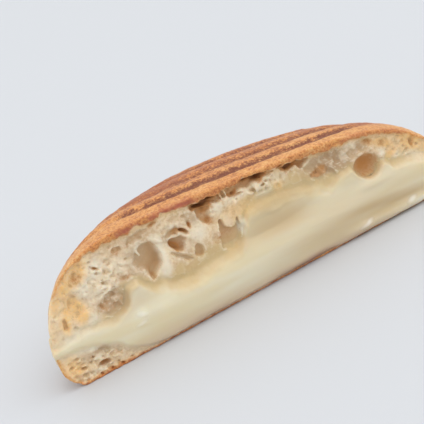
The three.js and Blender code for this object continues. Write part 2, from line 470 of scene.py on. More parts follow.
def distance_below(line: Callable[[Array], Array]) -> Sheet:
    """Measures how far places on the cut are from a line along it.

    Args:
        line: The line's height along the cut.

    Returns:
        The distances, above zero below the line.
    """
    pitch, fine, passes = 0.5, 0.3, 3
    x, z = np.arange(-84, 86, pitch), np.arange(-6, 48, pitch)
    along = np.arange(-90, 92, fine)
    height = line(along)
    rows = [np.min((at - along) ** 2 + (z[:, None] - height) ** 2, axis=1) for at in x]
    values = np.sqrt(np.stack(rows)) * np.sign(line(x)[:, None] - z)
    for _ in range(passes):
        for axis in range(2):
            values = (np.roll(values, 1, axis) + 2 * values + np.roll(values, -1, axis)) / 4
    return Sheet((x[0], z[0]), (pitch, pitch), values)


@dataclass(frozen=True)
class FineCells:
    """A stretch of the cut with small gas cells of one make, scattered at random."""

    low: tuple[float, float]
    high: tuple[float, float]
    count: int
    least: float
    most: float
    flat: float
    seed: int
    thinned_above: float = 0.35
    deepness: float = 1.2
    turning: float = 60.0
    sinking: float = 0.9
    wobble: float = 0.2

    def pockets(self, thinned: Noise) -> list[Pocket]:
        """Draws the cells.

        Args:
            thinned: Noise that leaves them out in places.

        Returns:
            The cells, large ones rarer than small ones.
        """
        draws = np.random.default_rng(self.seed).random((self.count, 5))
        cells = []
        for along, height, size, turn, sink in draws.tolist():
            x = mix(self.low[0], self.high[0], along)
            z = mix(self.low[1], self.high[1], height)
            if thinned.at(np.array([x]), np.array([z]))[0] > self.thinned_above:
                continue
            radius = self.least + (self.most - self.least) * size**3
            across, up, deep = radius * self.flat, radius / self.flat, radius * self.deepness
            tilted, back = self.turning * (turn - 0.5), self.sinking * sink * radius
            cells.append(Pocket(x, z, across, up, deep, tilted, back, self.wobble))
        return cells


# ---- Volumes ----

STEEPEST = 5.0
FLATTEST = 1e-6
CELL_MARGIN = 1.4
STRAND_UNREST = 0.35
BAND_STEPS = 3


def largest_lump(count: int, faces: list[Array]) -> Array:
    """Tells the points of a mesh's largest lump from scraps that hang free of it.

    Args:
        count: How many points there are.
        faces: Arrays of faces, each a row of its points.

    Returns:
        True for each point of the largest lump.
    """
    sides = [np.stack((f, np.roll(f, 1, axis=1)), axis=2).reshape(-1, 2) for f in faces]
    start, end = np.concatenate(sides).T
    lump = np.arange(count)
    settled = False
    while not settled:
        lower = np.minimum(lump[start], lump[end])
        joined = lump.copy()
        np.minimum.at(joined, lump[start], lower)
        np.minimum.at(joined, lump[end], lower)
        joined = joined[joined]
        settled = bool((joined == lump).all())
        lump = joined
    return lump == np.bincount(lump).argmax()


@dataclass(frozen=True)
class Span:
    """Lattice places on one axis: close together, and wider apart past a point."""

    low: float
    high: float
    close: float
    until: float = math.inf
    wide: float = 0.0
    growth: float = 1.1

    def places(self) -> Array:
        """Lays the places out.

        Returns:
            The places in millimetres.
        """
        near = np.arange(self.low, min(self.until, self.high), self.close).tolist()
        step = self.close
        while near[-1] < self.high:
            step = min(step * self.growth, self.wide) if self.wide else step
            near.append(near[-1] + step)
        return np.array(near)


@dataclass
class Block:
    """A box of lattice points that holds a field: below zero inside the piece."""

    spans: tuple[Span, Span, Span]
    axes: list[Array] = field(init=False)
    values: Array = field(init=False)

    def __post_init__(self) -> None:
        """Lays out the lattice."""
        self.axes = [span.places() for span in self.spans]

    @property
    def pitch(self) -> float:
        """The closest spacing."""
        return min(span.close for span in self.spans)

    def plan(self) -> tuple[Array, Array]:
        """The x and y of the lattice, ready to combine."""
        return self.axes[0][:, None], self.axes[1][None, :]

    def front(self) -> tuple[Array, Array]:
        """The x and z of the lattice, ready to combine."""
        return self.axes[0][:, None], self.axes[2][None, :]

    def depths(self) -> Array:
        """The y of the lattice, ready to combine with a front."""
        return self.axes[1][None, :, None]

    def heights(self) -> Array:
        """The z of the lattice, ready to combine with a plan."""
        return self.axes[2][None, None, :]

    def stretch(self, height: Array) -> Array:
        """How much longer a sloping surface is than its plan.

        Args:
            height: The surface's height over the plan.

        Returns:
            The factor that turns heights above it into distances from it.
        """
        along_x, along_y = np.gradient(height, *self.axes[:2])
        return np.sqrt(1 + np.minimum(along_x**2 + along_y**2, STEEPEST**2))

    def window(self, centre: tuple[float, ...], reach: tuple[float, ...]) -> tuple[slice, ...]:
        """The part of the lattice round a point.

        Args:
            centre: The point.
            reach: How far the part goes on each axis.

        Returns:
            A slice for each axis.
        """
        cuts = []
        for axis, middle, far in zip(self.axes, centre, reach):
            start, end = np.searchsorted(axis, (middle - far, middle + far))
            cuts.append(slice(int(start), int(end)))
        return tuple(cuts)

    def part(self, cut: tuple[slice, ...]) -> list[Array]:
        """The coordinates of a part of the lattice, ready to combine."""
        return np.meshgrid(*(a[c] for a, c in zip(self.axes, cut)), indexing="ij", sparse=True)

    def carve(self, pocket: Pocket, noise: Noise, round_off: float) -> None:
        """Opens a gas cell in the field.

        Args:
            pocket: The cell.
            noise: What makes its wall wobble.
            round_off: How much its lip is rounded.
        """
        reach = max(pocket.across, pocket.up) * CELL_MARGIN + 1
        behind = pocket.deep * CELL_MARGIN + 1
        cut = self.window((pocket.x, pocket.y, pocket.z), (reach, behind, reach))
        if any(c.start >= c.stop for c in cut):
            return
        x, y, z = self.part(cut)
        u, w = turned(pocket, x, z)
        v = (y - pocket.y) / pocket.deep
        wall = 1 + pocket.wobble * noise.at(x, y, z)
        least = min(pocket.across, pocket.up, pocket.deep)
        inside = (wall - np.sqrt(u * u + v * v + w * w)) * least
        self.values[cut] = soft_max(self.values[cut], inside, round_off)

    def add_strand(self, strand: Strand, noise: Noise, round_off: float) -> None:
        """Leaves a web of material standing.

        Args:
            strand: The web.
            noise: What makes it uneven.
            round_off: How softly it grows out of what it joins.
        """
        start, end = np.array(strand.start), np.array(strand.end)
        reach = np.abs(end - start) / 2 + strand.thick * 2 + 1
        cut = self.window(tuple((start + end) / 2), tuple(reach))
        if any(c.start >= c.stop for c in cut):
            return
        x, y, z = self.part(cut)
        way = end - start
        share = sum(w * (p - s) for w, p, s in zip(way, (x, y, z), start)) / (way @ way)
        share = np.clip(share, 0, 1)
        gap = sum((p - s - w * share) ** 2 for w, p, s in zip(way, (x, y, z), start))
        outside = np.sqrt(gap) - strand.thick * (1 + STRAND_UNREST * noise.at(x, y, z))
        self.values[cut] = -soft_max(-self.values[cut], -outside, round_off)

    def soften(self, passes: int) -> None:
        """Blurs the field a little, so that torn edges look soft.

        Args:
            passes: How many times each point takes in its neighbours.
        """
        for _ in range(passes):
            for axis in range(3):
                before, after = np.roll(self.values, 1, axis), np.roll(self.values, -1, axis)
                self.values = (before + 2 * self.values + after) / 4

    def enclosure(self, spots: Array, reach: int) -> Array:
        """How full the space round points of the surface is.

        Args:
            spots: The points in lattice steps.
            reach: How many steps round a point count.

        Returns:
            0.5 on a flat face, more in a hollow and less on an edge.
        """
        filled = np.clip(0.5 - self.values / (2 * self.pitch), 0, 1).astype(np.float32)
        for axis in range(3):
            width = [(0, 0)] * 3
            width[axis] = (reach + 1, reach)
            summed = np.cumsum(np.pad(filled, width, mode="edge"), axis=axis)
            far = np.take(summed, range(2 * reach + 1, summed.shape[axis]), axis=axis)
            near = np.take(summed, range(0, summed.shape[axis] - 2 * reach - 1), axis=axis)
            filled = (far - near) / (2 * reach + 1)
        whole = np.clip(np.rint(spots).astype(int), 0, np.array(filled.shape) - 1)
        return filled[whole[:, 0], whole[:, 1], whole[:, 2]]

    def face_depth(self, reach: float) -> Sheet:
        """Measures how far back the piece starts, seen from in front of the cut.

        Args:
            reach: How far behind the cut it is looked for.

        Returns:
            The depths, 1 where there is none of it.
        """
        near = int(np.searchsorted(self.axes[1], reach))
        values, y = self.values[:, :near, :], self.axes[1]
        first = np.maximum(np.argmax(values < 0, axis=1), 1)
        x, z = np.ogrid[: values.shape[0], : values.shape[2]]
        outer, inner = values[x, first - 1, z], values[x, first, z]
        share = np.clip(outer / np.maximum(outer - inner, FLATTEST), 0, 1)
        depth = np.where((values < 0).any(axis=1), mix(y[first - 1], y[first], share), 1.0)
        corner = (self.axes[0][0], self.axes[2][0])
        return Sheet(corner, (self.spans[0].close, self.spans[2].close), depth)

    def skin(self) -> tuple[Array, list[tuple[int, ...]]]:
        """Skins the field where it is zero.

        Returns:
            The points in lattice steps, and the faces, which look outward.
        """
        band = BAND_STEPS * self.pitch
        grid = openvdb.FloatGrid(band)
        grid.copyFromArray(np.clip(self.values, -band, band).astype(np.float32))
        spots, triangles, quads = grid.convertToPolygons(isovalue=0.0, adaptivity=0.0)
        kept = largest_lump(len(spots), [corners.astype(int) for corners in (triangles, quads)])
        number = np.cumsum(kept) - 1
        faces: list[tuple[int, ...]] = []
        for corners in (triangles, quads):
            whole = corners[kept[corners[:, 0]]]
            faces += [tuple(face) for face in number[whole].tolist()]
        return spots[kept], faces

    def place(self, spots: Array) -> Array:
        """Turns lattice steps into millimetres."""
        steps = [np.arange(len(axis)) for axis in self.axes]
        columns = [np.interp(spots[:, i], steps[i], self.axes[i]) for i in range(3)]
        return np.stack(columns, axis=1)


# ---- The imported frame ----


class Solid(enum.Enum):
    """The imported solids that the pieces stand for, with their material slots."""

    TOP_BREAD = ("top_bread", "bread")
    CHEESE = ("cheese", "cheese")
    BOTTOM_BREAD = ("bottom_bread", "bread")

    @property
    def node(self) -> str:
        """The solid's node."""
        return self.value[0]

    @property
    def slot(self) -> str:
        """The record's slot."""
        return self.value[1]


def cut_origin() -> Vector:
    """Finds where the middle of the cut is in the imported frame.

    Returns:
        The place, in metres, on the surface that the roll lies on.
    """
    low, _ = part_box(Solid.BOTTOM_BREAD.node)
    tip = ROLL.half_length * ROLL.tip_share - ROLL.slant * ROLL.gap
    return Vector((low.x + tip * MM, low.y - ROLL.gap * MM, low.z))


@dataclass
class Piece(ABC):
    """What every part of the roll has in common: a solid to stand for, and a mesh."""

    solid: Solid
    name: str
    spans: tuple[Span, Span, Span]

    @abstractmethod
    def masks(self, block: Block, spots: Array, cut: Cut) -> dict[str, Array]:
        """Works out where each look shows."""

    def stand_in(self, block: Block, cut: Cut) -> bpy.types.Object:
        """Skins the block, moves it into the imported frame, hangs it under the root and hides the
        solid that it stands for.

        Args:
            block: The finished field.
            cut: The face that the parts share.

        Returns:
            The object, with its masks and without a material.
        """
        spots, faces = block.skin()
        mesh = bpy.data.meshes.new(self.name)
        mesh.from_pydata(block.place(spots).tolist(), [], faces)
        for label, values in self.masks(block, spots, cut).items():
            layer = mesh.attributes.new(label, "FLOAT", "POINT")
            layer.data.foreach_set("value", np.clip(values, 0, 1).astype(np.float32))
        mesh.transform(Matrix.Translation(cut_origin()) @ Matrix.Scale(MM, 4))
        mesh.shade_smooth()
        piece = bpy.data.objects.new(self.name, mesh)
        bpy.context.scene.collection.objects.link(piece)
        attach(piece, "root")
        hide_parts(self.solid.node)
        triangles = sum(len(face) - 2 for face in faces)
        log.info("%s: %d points, %d triangles", self.name, len(spots), triangles)
        return piece


@dataclass
class Bread(Piece):
    """What crown and heel have in common: gas cells in the crumb, and its colours."""

    wobble: Noise
    thinned: Noise
    cell_lip: float
    fine_lip: float
    pockets: tuple[Pocket, ...]
    fine_cells: tuple[FineCells, ...]
    browning_and_shade: tuple[Patch, ...]
    gold: tuple[Patch, ...]
    pale: tuple[Patch, ...]
    painted_shade_patches: tuple[Patch, ...]

    @abstractmethod
    def holds(self, pocket: Pocket) -> bool:
        """Tells whether the crumb that shows has room for a fine cell."""

    def open_cells(self, block: Block) -> None:
        """Carves the large cells and then the fine ones.

        Args:
            block: The field.
        """
        for pocket in self.pockets:
            block.carve(pocket, self.wobble, self.cell_lip)
        for stretch in self.fine_cells:
            for pocket in filter(self.holds, stretch.pockets(self.thinned)):
                block.carve(pocket, self.wobble, self.fine_lip)

    def colours(self, x: Array, z: Array) -> dict[str, Array]:
        """The masks of the patches that colour the crumb, painted shade among them, by name."""
        tables = {
            "brown": self.browning_and_shade, "gold": self.gold, "pale": self.pale, "painted_shade": self.painted_shade_patches
        }
        return {name: patched(table, x, z) for name, table in tables.items()}


# ---- Where crust, crumb and cheese meet on the cut ----

CRUST_LINE = (
    (-76, 24), (-70, 29.5), (-66, 33.4), (-62, 36.8), (-58, 38.1), (-50, 38.8), (-45, 39.1),
    (-30, 39), (-20, 38.3), (-15, 37.6), (-10, 37.2), (0, 37.4), (7.5, 36.8), (12, 36.1),
    (16, 35.4), (20, 35.2), (25, 34.3), (30, 33.5), (40, 33), (45, 32.2), (50, 30.4),
    (55, 28.8), (60, 26.6), (65, 23.6), (70, 19.5), (76, 15),
)
CHEESE_TOP = (
    (-75.3, 17.2), (-70, 17.6), (-65, 17.8), (-60, 17.6), (-54, 16.6), (-50.5, 17.2), (-48.6, 20.5),
    (-47, 24.2), (-43, 24.8), (-40.5, 22.5), (-38, 20.6), (-34.5, 21.4), (-31, 20), (-26, 18.8),
    (-22, 19.6), (-17, 20.6), (-12.5, 20.4), (-6.4, 20.8), (-4.4, 25.2), (-1, 29.2),
    (4, 31.6), (9, 31.6), (14, 30.6), (20, 29), (26, 26.8), (31, 24.8),
    (35, 25), (37.6, 25.4), (39.4, 23.2), (41, 20.8), (42.8, 19.4), (44.8, 18.9), (46.8, 19.3),
    (48.6, 20.6), (50, 21.8), (52, 21.2), (57, 19.8), (62, 18.8), (67, 17.2), (75.3, 12.6),
)
CHEESE_FOOT = (
    (-75.3, 11.0), (-70, 10.8), (-65, 9.9), (-61, 8.4), (-58.5, 6.6), (-56, 4.8), (-53, 3.0),
    (-50, 1.6), (-46, 0.9), (-40, 0.7), (22, 0.7), (32, 0.25), (61, 0.25), (67, 2.3),
    (71, 6), (75.3, 9.2),
)
FILM_FADE = (
    (-75.3, 2.6), (-62, 2.4), (-55, 2.2), (-50, 1.3), (-44, 1.6), (-38, 3), (-30, 5), (-10, 4.5),
    (-5.4, 2), (-3.4, 1.3), (2, 4), (8, 6), (26, 5), (33, 2.2), (39, 1.1), (50, 1.1),
    (54, 3), (75.3, 3),
)
FOOT_FADE = (
    (-75.3, 2.4), (-62, 2.4), (-57, 2.8), (-50, 2.4), (-45, 1.2), (-42, 0.7), (60, 0.7),
    (68, 2), (75.3, 2.4),
)
OVERLAP = ((-75.3, 2.4), (-66, 2.8), (-54, 4.6), (62, 4.6), (70, 2.4), (75.3, 1.7))
SWELLING = (
    (-75.3, 0.0), (-70, 0.1), (-62, 0.22), (-54, 0.45), (-46, 0.8), (-40, 1.0), (68, 1.0),
    (75.3, 0.0),
)
SOAK_REACH = (
    (-76, 2), (-46, 1.5), (-38, 2), (-30, 4), (-20, 5), (-12, 4.5), (-2, 4), (8, 6),
    (25, 5), (34, 2.5), (76, 2),
)
SOAKING = ((-76, 0.35), (-64, 0.4), (-52, 1), (56, 1), (66, 0.4), (76, 0.35))
RECESS_FLOOR = (
    (-21, 38), (-18.4, 35.3), (-16, 35.1), (-12.5, 35.1), (-10, 34.2), (-7, 34.6), (-4.6, 33.6),
    (-2, 34.9), (1.4, 33.9), (3.5, 34.9), (7, 35), (9.5, 34.3), (12.5, 35.4), (15, 33.8),
    (17, 33.3), (19.6, 33.3), (21, 31.7), (23.5, 32.7), (26, 34.4), (28, 38),
)
RECESS_DEPTH = (
    (-21, 0), (-18, 1.6), (-14, 2.0), (-8, 1.3), (-4, 1.6), (6.5, 2.5), (9, 1.1), (14, 1.2),
    (16, 2.3), (19, 2.3), (23, 1.7), (27, 0),
)
MARK_BEND = (
    (-75, 5), (-48, 3), (-34, 0.8), (-20, 0.4), (0, 0), (25, -0.8), (36, -0.3), (43, 1), (50, 3),
    (60, 6),
)
RUST = (
    (-76, 0.1), (-48, 0.3), (-44, 0.95), (-20, 0.95), (-14, 0.25), (20, 0.2), (30, 0.4), (76, 0.3),
)


@dataclass
class Cut:
    """The face that the knife left, with torn crumb above and cheese over the rest.

    Crumb and cheese each lie on this face where they show and a little behind it
    elsewhere, so that they meet flush.
    """

    crown: TopBread
    cheese: MeltedCheese
    heel: BottomBread
    tucked: float = 0.8
    tuck_reach: float = 2.0
    lean: float = 0.3
    steepest: float = 0.45
    start: float = 0.25
    foot_round: float = 3.0
    calm: float = 0.9
    calm_middle: float = 44.4
    calm_half: float = 6.5
    reach: float = 9.0
    head_wave: float = 0.5
    head_noise: Noise = Noise(63, 3.2, 2)
    foot_noise: Noise = Noise(64, 3, 3)
    rag: float = 0.45
    rag_noise: Noise = Noise(68, 2.0, 2)
    from_head: Sheet = field(init=False)
    from_foot: Sheet = field(init=False)
    breads: dict[Solid, Sheet] = field(init=False, default_factory=dict)

    def __post_init__(self) -> None:
        """Measures the distances from the cheese's edges."""
        self.from_head = distance_below(self.head)
        self.from_foot = distance_below(self.foot)

    def unrest(self, x: Array) -> Array:
        """How ragged the edges are: less so round the large round cell."""
        return 1 - self.calm * np.exp(-(((x - self.calm_middle) / self.calm_half) ** 4))

    def head(self, x: Array) -> Array:
        """Upper edge of the cheese, with its tongues."""
        wavy = self.head_wave * self.unrest(x)
        return eased_curve(CHEESE_TOP, x) + wavy * self.head_noise.at(x)

    def foot(self, x: Array) -> Array:
        """Lower edge of the cheese."""
        wavy = 0.2 + 0.6 * (1 - smooth(-50, -42, x))
        return eased_curve(CHEESE_FOOT, x) + wavy * self.foot_noise.at(x)

    def share(self, x: Array, z: Array) -> Array:
        """How much of the face is cheese: 0 on crumb and 1 on cheese."""
        down, up = self.borders(x, z)
        return smooth(0, 1, down) * smooth(0, 1, up)

    def borders(self, x: Array, z: Array) -> tuple[Array, Array]:
        """How far inside its upper and its lower edge the cheese is.

        Args:
            x: Place along the cut.
            z: Height.

        Returns:
            Both, 0 on the edge that shows and 1 where the film is closed.
        """
        ragged = self.rag * self.unrest(x) * self.rag_noise.at(x, z)
        head_fade, foot_fade = eased_curve(FILM_FADE, x), eased_curve(FOOT_FADE, x)
        down = (self.from_head.at(x, z) + ragged) / head_fade - self.start
        up = (-self.from_foot.at(x, z) + 0.5 * ragged) / foot_fade - self.start
        return down, up

    def in_crown(self, x: Array, z: Array) -> Array:
        """1 where bread on the cut belongs to the crown, 0 where it is the heel's."""
        return smooth(0, 2, z - ROLL.heel_face(x) - 1)

    def crumb(self, x: Array, z: Array) -> Array:
        """How far the torn crumb lies behind the plane of the cut, without its cells."""
        return mix(self.heel.face(x, z), self.crown.face(x, z), self.in_crown(x, z))

    def swelling(self, x: Array, z: Array) -> Array:
        """How far the cheese swells in front of the plane, rounded off at its foot."""
        rounded = self.foot_round * mix(1.0, 0.45, smooth(30, 56, x))
        up = np.clip(-self.from_foot.at(x, z) / rounded, 0, 1)
        return self.cheese.front(x, z) * np.sqrt(1 - (1 - up) ** 2)

    def depth(self, x: Array, z: Array) -> Array:
        """How far the face lies behind the cut, below zero where cheese swells."""
        return mix(self.crumb(x, z), -self.swelling(x, z), self.share(x, z))

    def crumb_front(self, x: Array, z: Array) -> Array:
        """Where the bread starts: on the face, or a little behind it under the cheese."""
        down, up = self.borders(x, z)
        inside = np.minimum(down * eased_curve(FILM_FADE, x), up * eased_curve(FOOT_FADE, x))
        cells = self.crown.hollowed(x, z) * self.in_crown(x, z)
        return self.crumb(x, z) + cells + self.tucked * smooth(0.2, self.tuck_reach, inside)

    def cheese_front(self, x: Array, z: Array) -> Array:
        """Where the cheese starts.

        Args:
            x: Place along the cut.
            z: Height.

        Returns:
            Its depth: it slips out from behind the crumb, follows it as a film and
            then swells out.
        """
        heel, crown = self.breads[Solid.BOTTOM_BREAD], self.breads[Solid.TOP_BREAD]
        bread = mix(heel.at(x, z), crown.at(x, z), self.in_crown(x, z))
        down, up = self.borders(x, z)
        slope_down = np.minimum(self.lean, self.steepest * eased_curve(FILM_FADE, x))
        slope_up = np.minimum(self.lean, self.steepest * eased_curve(FOOT_FADE, x))
        out = np.clip(np.minimum(down * slope_down, up * slope_up), -0.5, 0.2)
        return mix(bread, -self.swelling(x, z), self.share(x, z)) - out

    def sunk(self, x: Array, y: Array, z: Array) -> Array:
        """How deep a point lies in an open cell, 0 to 1 at a large one's back."""
        return smooth(0.4, 3.4, y - self.depth(x, z)) * (1 - smooth(7, 11, y))


@dataclass
class TopBread(Bread):
    """The crown: a crust with press marks over torn crumb."""

    solid: Solid = Solid.TOP_BREAD
    name: str = "crown_of_the_roll"
    wobble: Noise = Noise(31, 2.2, 3)
    thinned: Noise = Noise(32, 6.0, 2)
    cell_lip: float = 0.45
    fine_lip: float = 0.25
    strand_root: float = 0.3
    crust_margin: float = 0.6
    crust_tears: Noise = Noise(24, 2.6, 3, 0.9, pace=(1.0, 0.4, 1.0))
    crust_crumbs: Noise = Noise(28, 1.2, 2, 0.45)
    recess_rag: Noise = Noise(27, 1.9, 3, 0.7)
    hollow_rag: Noise = Noise(33, 1.5, 2, 0.35)
    torn_depth: float = 0.55
    torn_broad: Noise = Noise(21, 6.0, 2, 0.34)
    torn_fine: Noise = Noise(22, 1.6, 2, 0.14)
    folding: Noise = Noise(23, 1.7, 2, pace=(1.0, 0.3, 1.0))
    fold_slant: float = 0.35
    flaking: Noise = Noise(29, 2.4, 3, 1.3)
    flake_sink: float = 0.6
    lip_rag: Noise = Noise(25, 1.6, 3, 0.5)
    press_force: float = 0.85
    press_drift: Noise = Noise(42, 9, 2, 0.3)
    puffs: Noise = Noise(43, 8, 2, 0.3, pace=(0.6, 1.0, 1.0))
    blisters: Noise = Noise(44, 1.9, 3, 0.22)
    rib_wander: Noise = Noise(41, 22, 1, 0.6)
    spans: tuple[Span, Span, Span] = (
        Span(-77.5, 79.5, 0.43),
        Span(-1.4, 58.5, 0.38, until=6.0, wide=1.4),
        Span(10.5, 43.5, 0.43),
    )
    lip: float = 0.3
    edge_round: float = 0.8
    rim_round: float = 1.4
    hollows: tuple[Hollow, ...] = (
        # The large grey cell, deepest at its sharp right wall and in its tail
        Hollow((
            (-37.6, 33.6), (-40.4, 32.6), (-42.6, 29.6), (-41.8, 26.2), (-39.4, 25), (-38.7, 22),
            (-37.6, 20.8), (-35.9, 22.2), (-33.2, 25), (-32.7, 27.8), (-33.6, 31.2),
            (-34.8, 33.2),
        ), 2.5, 1.8, (0.26, -0.14)),
        Hollow((
            (-42.6, 35), (-41.4, 37.2), (-36.4, 38.4), (-34, 37), (-37.2, 35.8), (-40.6, 34.4),
        ), 0.8, 1.0),
        # Its smaller neighbour, the bubble above it and the slits round it
        Hollow((
            (-30, 30.4), (-29.4, 28), (-26, 24.8), (-24.9, 25.8), (-23.6, 28.6), (-24.6, 30.2),
            (-27.4, 30.6),
        ), 2.5, 1.1, (-0.28, -0.1)),
        Hollow((
            (-30.4, 31.9), (-28.6, 33.6), (-25.4, 33.2), (-24.8, 31.8), (-26.8, 31.1),
            (-29.8, 31),
        ), 1.1, 0.9),
        Hollow((
            (-25.2, 32.4), (-23.2, 31.8), (-21.9, 30.1), (-22.6, 29.6), (-24.6, 31.2),
        ), 2.4, 0.6),
        Hollow((
            (-30.4, 26.6), (-28.6, 26.2), (-24.6, 23), (-23, 20.8), (-25, 20.8), (-28.6, 23.6),
        ), 1.2, 0.9),
        Hollow((
            (-22.5, 21.6), (-21.9, 24.6), (-20.6, 25.4), (-19.1, 24), (-19, 21.2), (-20.6, 20),
        ), 1.7, 0.8),
        # The brown cell under the dark slits
        Hollow((
            (-18.4, 35.6), (-18, 32.4), (-17, 30.2), (-15.2, 29.2), (-13.6, 30.4), (-13, 35),
        ), 1.8, 0.9),
        # The cell over the cheese that a tongue of crumb hangs into
        Hollow((
            (-13.4, 19.4), (-12.5, 25), (-11.6, 29), (-10.3, 28.8), (-9.7, 25.8), (-8.2, 24.7),
            (-6.4, 24.9), (-5.7, 27.3), (-4.8, 27.1), (-4.6, 23), (-6.2, 18.6), (-9.4, 17.4),
        ), 2.0, 0.9, (-0.06, 0.08)),
        # Cells of the left end
        Hollow((
            (-62.8, 32.8), (-61.2, 34.8), (-58.6, 37), (-57, 36.6), (-58.2, 34), (-58, 32.2),
        ), 0.8, 0.9),
        Hollow((
            (-47.6, 35.2), (-46.6, 36.2), (-44, 36.1), (-43.8, 34.5), (-46.4, 34.2),
        ), 1.2, 0.6),
        Hollow((
            (-69.4, 19.6), (-69.2, 22.8), (-68, 23.2), (-67.2, 21.4), (-67.8, 18.8),
        ), 0.8, 0.7),
        Hollow((
            (-66, 21.4), (-65.8, 26.6), (-63.8, 29.4), (-62, 27.4), (-61.8, 22.6), (-63.6, 20.6),
        ), 0.7, 1.2),
    )
    pockets: tuple[Pocket, ...] = (
        Pocket(-35.2, 25, 1, 1.8, 3, turn=-16, y=0.5),
        Pocket(-37.5, 22.4, 0.7, 1.4, 2.8, turn=-20, y=0.4),
        # The round golden cell on the right
        Pocket(44.4, 22.1, 5.3, 4, 3.4, turn=-6, y=0.1, wobble=0.05),
        Pocket(-32.5, 37.8, 1.4, 0.5, 1.4, turn=12),
        Pocket(-28.2, 27.4, 0.5, 1.9, 3.2, turn=34, y=0.3),
        Pocket(-26.3, 31.2, 0.35, 0.5, 1.8),
        Pocket(-22.8, 26.6, 0.6, 0.8, 1.4),
        Pocket(-21.3, 32.2, 0.6, 1.3, 2, turn=6),
        Pocket(-21.8, 34.4, 0.9, 2, 1.1, turn=14, wobble=0.3),
        # The dark slits under the crust
        Pocket(-15.9, 35.8, 2.6, 0.6, 4.6, turn=-10, y=0.2),
        Pocket(-12.2, 36.8, 2.3, 0.6, 4.2, turn=-8, y=0.2),
        Pocket(1.4, 36.9, 1.3, 0.5, 3.4),
        Pocket(5.9, 36.3, 1.4, 0.8, 4.4, turn=-8),
        Pocket(8.6, 36.4, 0.8, 0.3, 2),
        Pocket(13.8, 36.1, 1.1, 0.45, 2.4, turn=6),
        Pocket(17.6, 34.2, 2.2, 0.8, 2.6, turn=6, y=0.4),
        Pocket(11.4, 30.2, 0.9, 0.8, 1.2),
        Pocket(22, 30.8, 0.8, 0.5, 1.2),
        Pocket(24, 27.5, 0.6, 0.55, 2),
        Pocket(26, 27.7, 1.3, 0.55, 2.4, turn=-36),
        Pocket(25.2, 26.1, 0.8, 0.35, 1.6, turn=-36),
        Pocket(28.4, 28.6, 2, 1.5, 1.3, turn=-10, wobble=0.3),
        Pocket(-14.4, 23.4, 1.3, 2.4, 0.9, y=0.1, wobble=0.3),
        # Toasted cells by the round one
        Pocket(47, 29.6, 1.7, 1, 2, turn=-30),
        Pocket(49.2, 27.8, 1.5, 0.9, 1, turn=-30, wobble=0.3),
        Pocket(52.8, 27.2, 1.7, 0.6, 1.6, turn=-28),
        Pocket(54.8, 24.2, 1.3, 0.9, 1.2, wobble=0.3),
        Pocket(53.8, 21.4, 1.3, 0.9, 0.9, wobble=0.3),
        Pocket(60.6, 23.4, 0.8, 0.7, 1),
        Pocket(58.6, 23.4, 0.7, 0.7, 1.2),
        Pocket(61, 20.6, 0.8, 0.6, 1.2),
        Pocket(63.7, 22.3, 1.2, 2.1, 2.2, turn=-6),
        # Cells of the left end
        Pocket(-53.8, 33.2, 1.1, 0.5, 1.8, turn=-34),
        Pocket(-62.6, 31.6, 1.5, 0.8, 1, turn=20, wobble=0.3),
        Pocket(-66.9, 23.6, 0.7, 1.3, 1.1, turn=8),
        Pocket(-69.6, 27.2, 1.4, 1.6, 0.8, wobble=0.3),
        Pocket(-55.4, 22.4, 1.2, 0.7, 1.3, turn=20),
        Pocket(-57.2, 19.6, 0.7, 1.5, 1.3, turn=-14),
        Pocket(-59, 26, 1.8, 1, 1, turn=16, wobble=0.3),
        Pocket(-47, 26.2, 1.8, 0.9, 1.2, wobble=0.3),
        Pocket(-43.6, 25.6, 1.4, 0.5, 1.2, turn=-34),
        Pocket(-48.6, 35.6, 1.2, 0.5, 0.9, turn=20),
        Pocket(-51, 36.6, 1.2, 0.5, 0.9, turn=-20),
    )
    strands: tuple[Strand, ...] = (
        Strand((-39.4, 1.2, 30.4), (-41.4, 0.7, 35.4), 0.4),
        Strand((-31.6, 0.6, 31.4), (-34.0, 0.7, 33.6), 0.55),
        Strand((-24.2, 0.9, 25.4), (-21.8, 0.7, 27.4), 0.5),
        Strand((-8.8, 0.6, 37.2), (-8.0, 0.9, 34.4), 0.3),
        Strand((-6.9, 0.6, 37.2), (-6.3, 0.9, 33.8), 0.3),
    )
    fine_cells: tuple[FineCells, ...] = (
        FineCells((-62, 22), (-42, 37.5), 260, 0.35, 0.78, 1.2, seed=11),
        FineCells((-58, 16), (-48, 25), 130, 0.35, 0.8, 1.1, seed=18),
        FineCells((-74, 17), (-62, 34), 60, 0.35, 0.8, 1.1, seed=19),
        FineCells((-40, 30), (-18, 38), 40, 0.35, 0.8, 1.2, seed=12),
        FineCells((-14, 31), (26, 35), 60, 0.35, 0.8, 1.3, seed=13),
        FineCells((24, 24), (50, 33), 90, 0.35, 1.0, 1.4, seed=14),
        FineCells((49, 17), (73, 29), 150, 0.35, 0.9, 1.2, seed=15),
    )
    fineness: tuple[Patch, ...] = patches(
        (-54, 29, 12, 9, 1), (-52.6, 20.4, 5.4, 4.4, 0.8), (-68, 23, 7, 9, 0.35),
        (-28, 34.6, 12, 3.4, 0.4), (-2, 34.2, 16, 2.4, 0.75), (14, 33.6, 9, 3, 0.7),
        (33, 29, 11, 5, 0.7), (58, 24, 12, 8, 0.75, -20), (-4, 30, 9, 3, 0.2),
    )
    grain: Noise = Noise(26, 1.9, 3)
    grain_lift: float = 0.15
    grain_floor: float = -0.2
    grain_depth: float = 1.8
    grain_reach: float = 5.0
    soak_rag: Noise = Noise(54, 3.5, 2, 1.4)
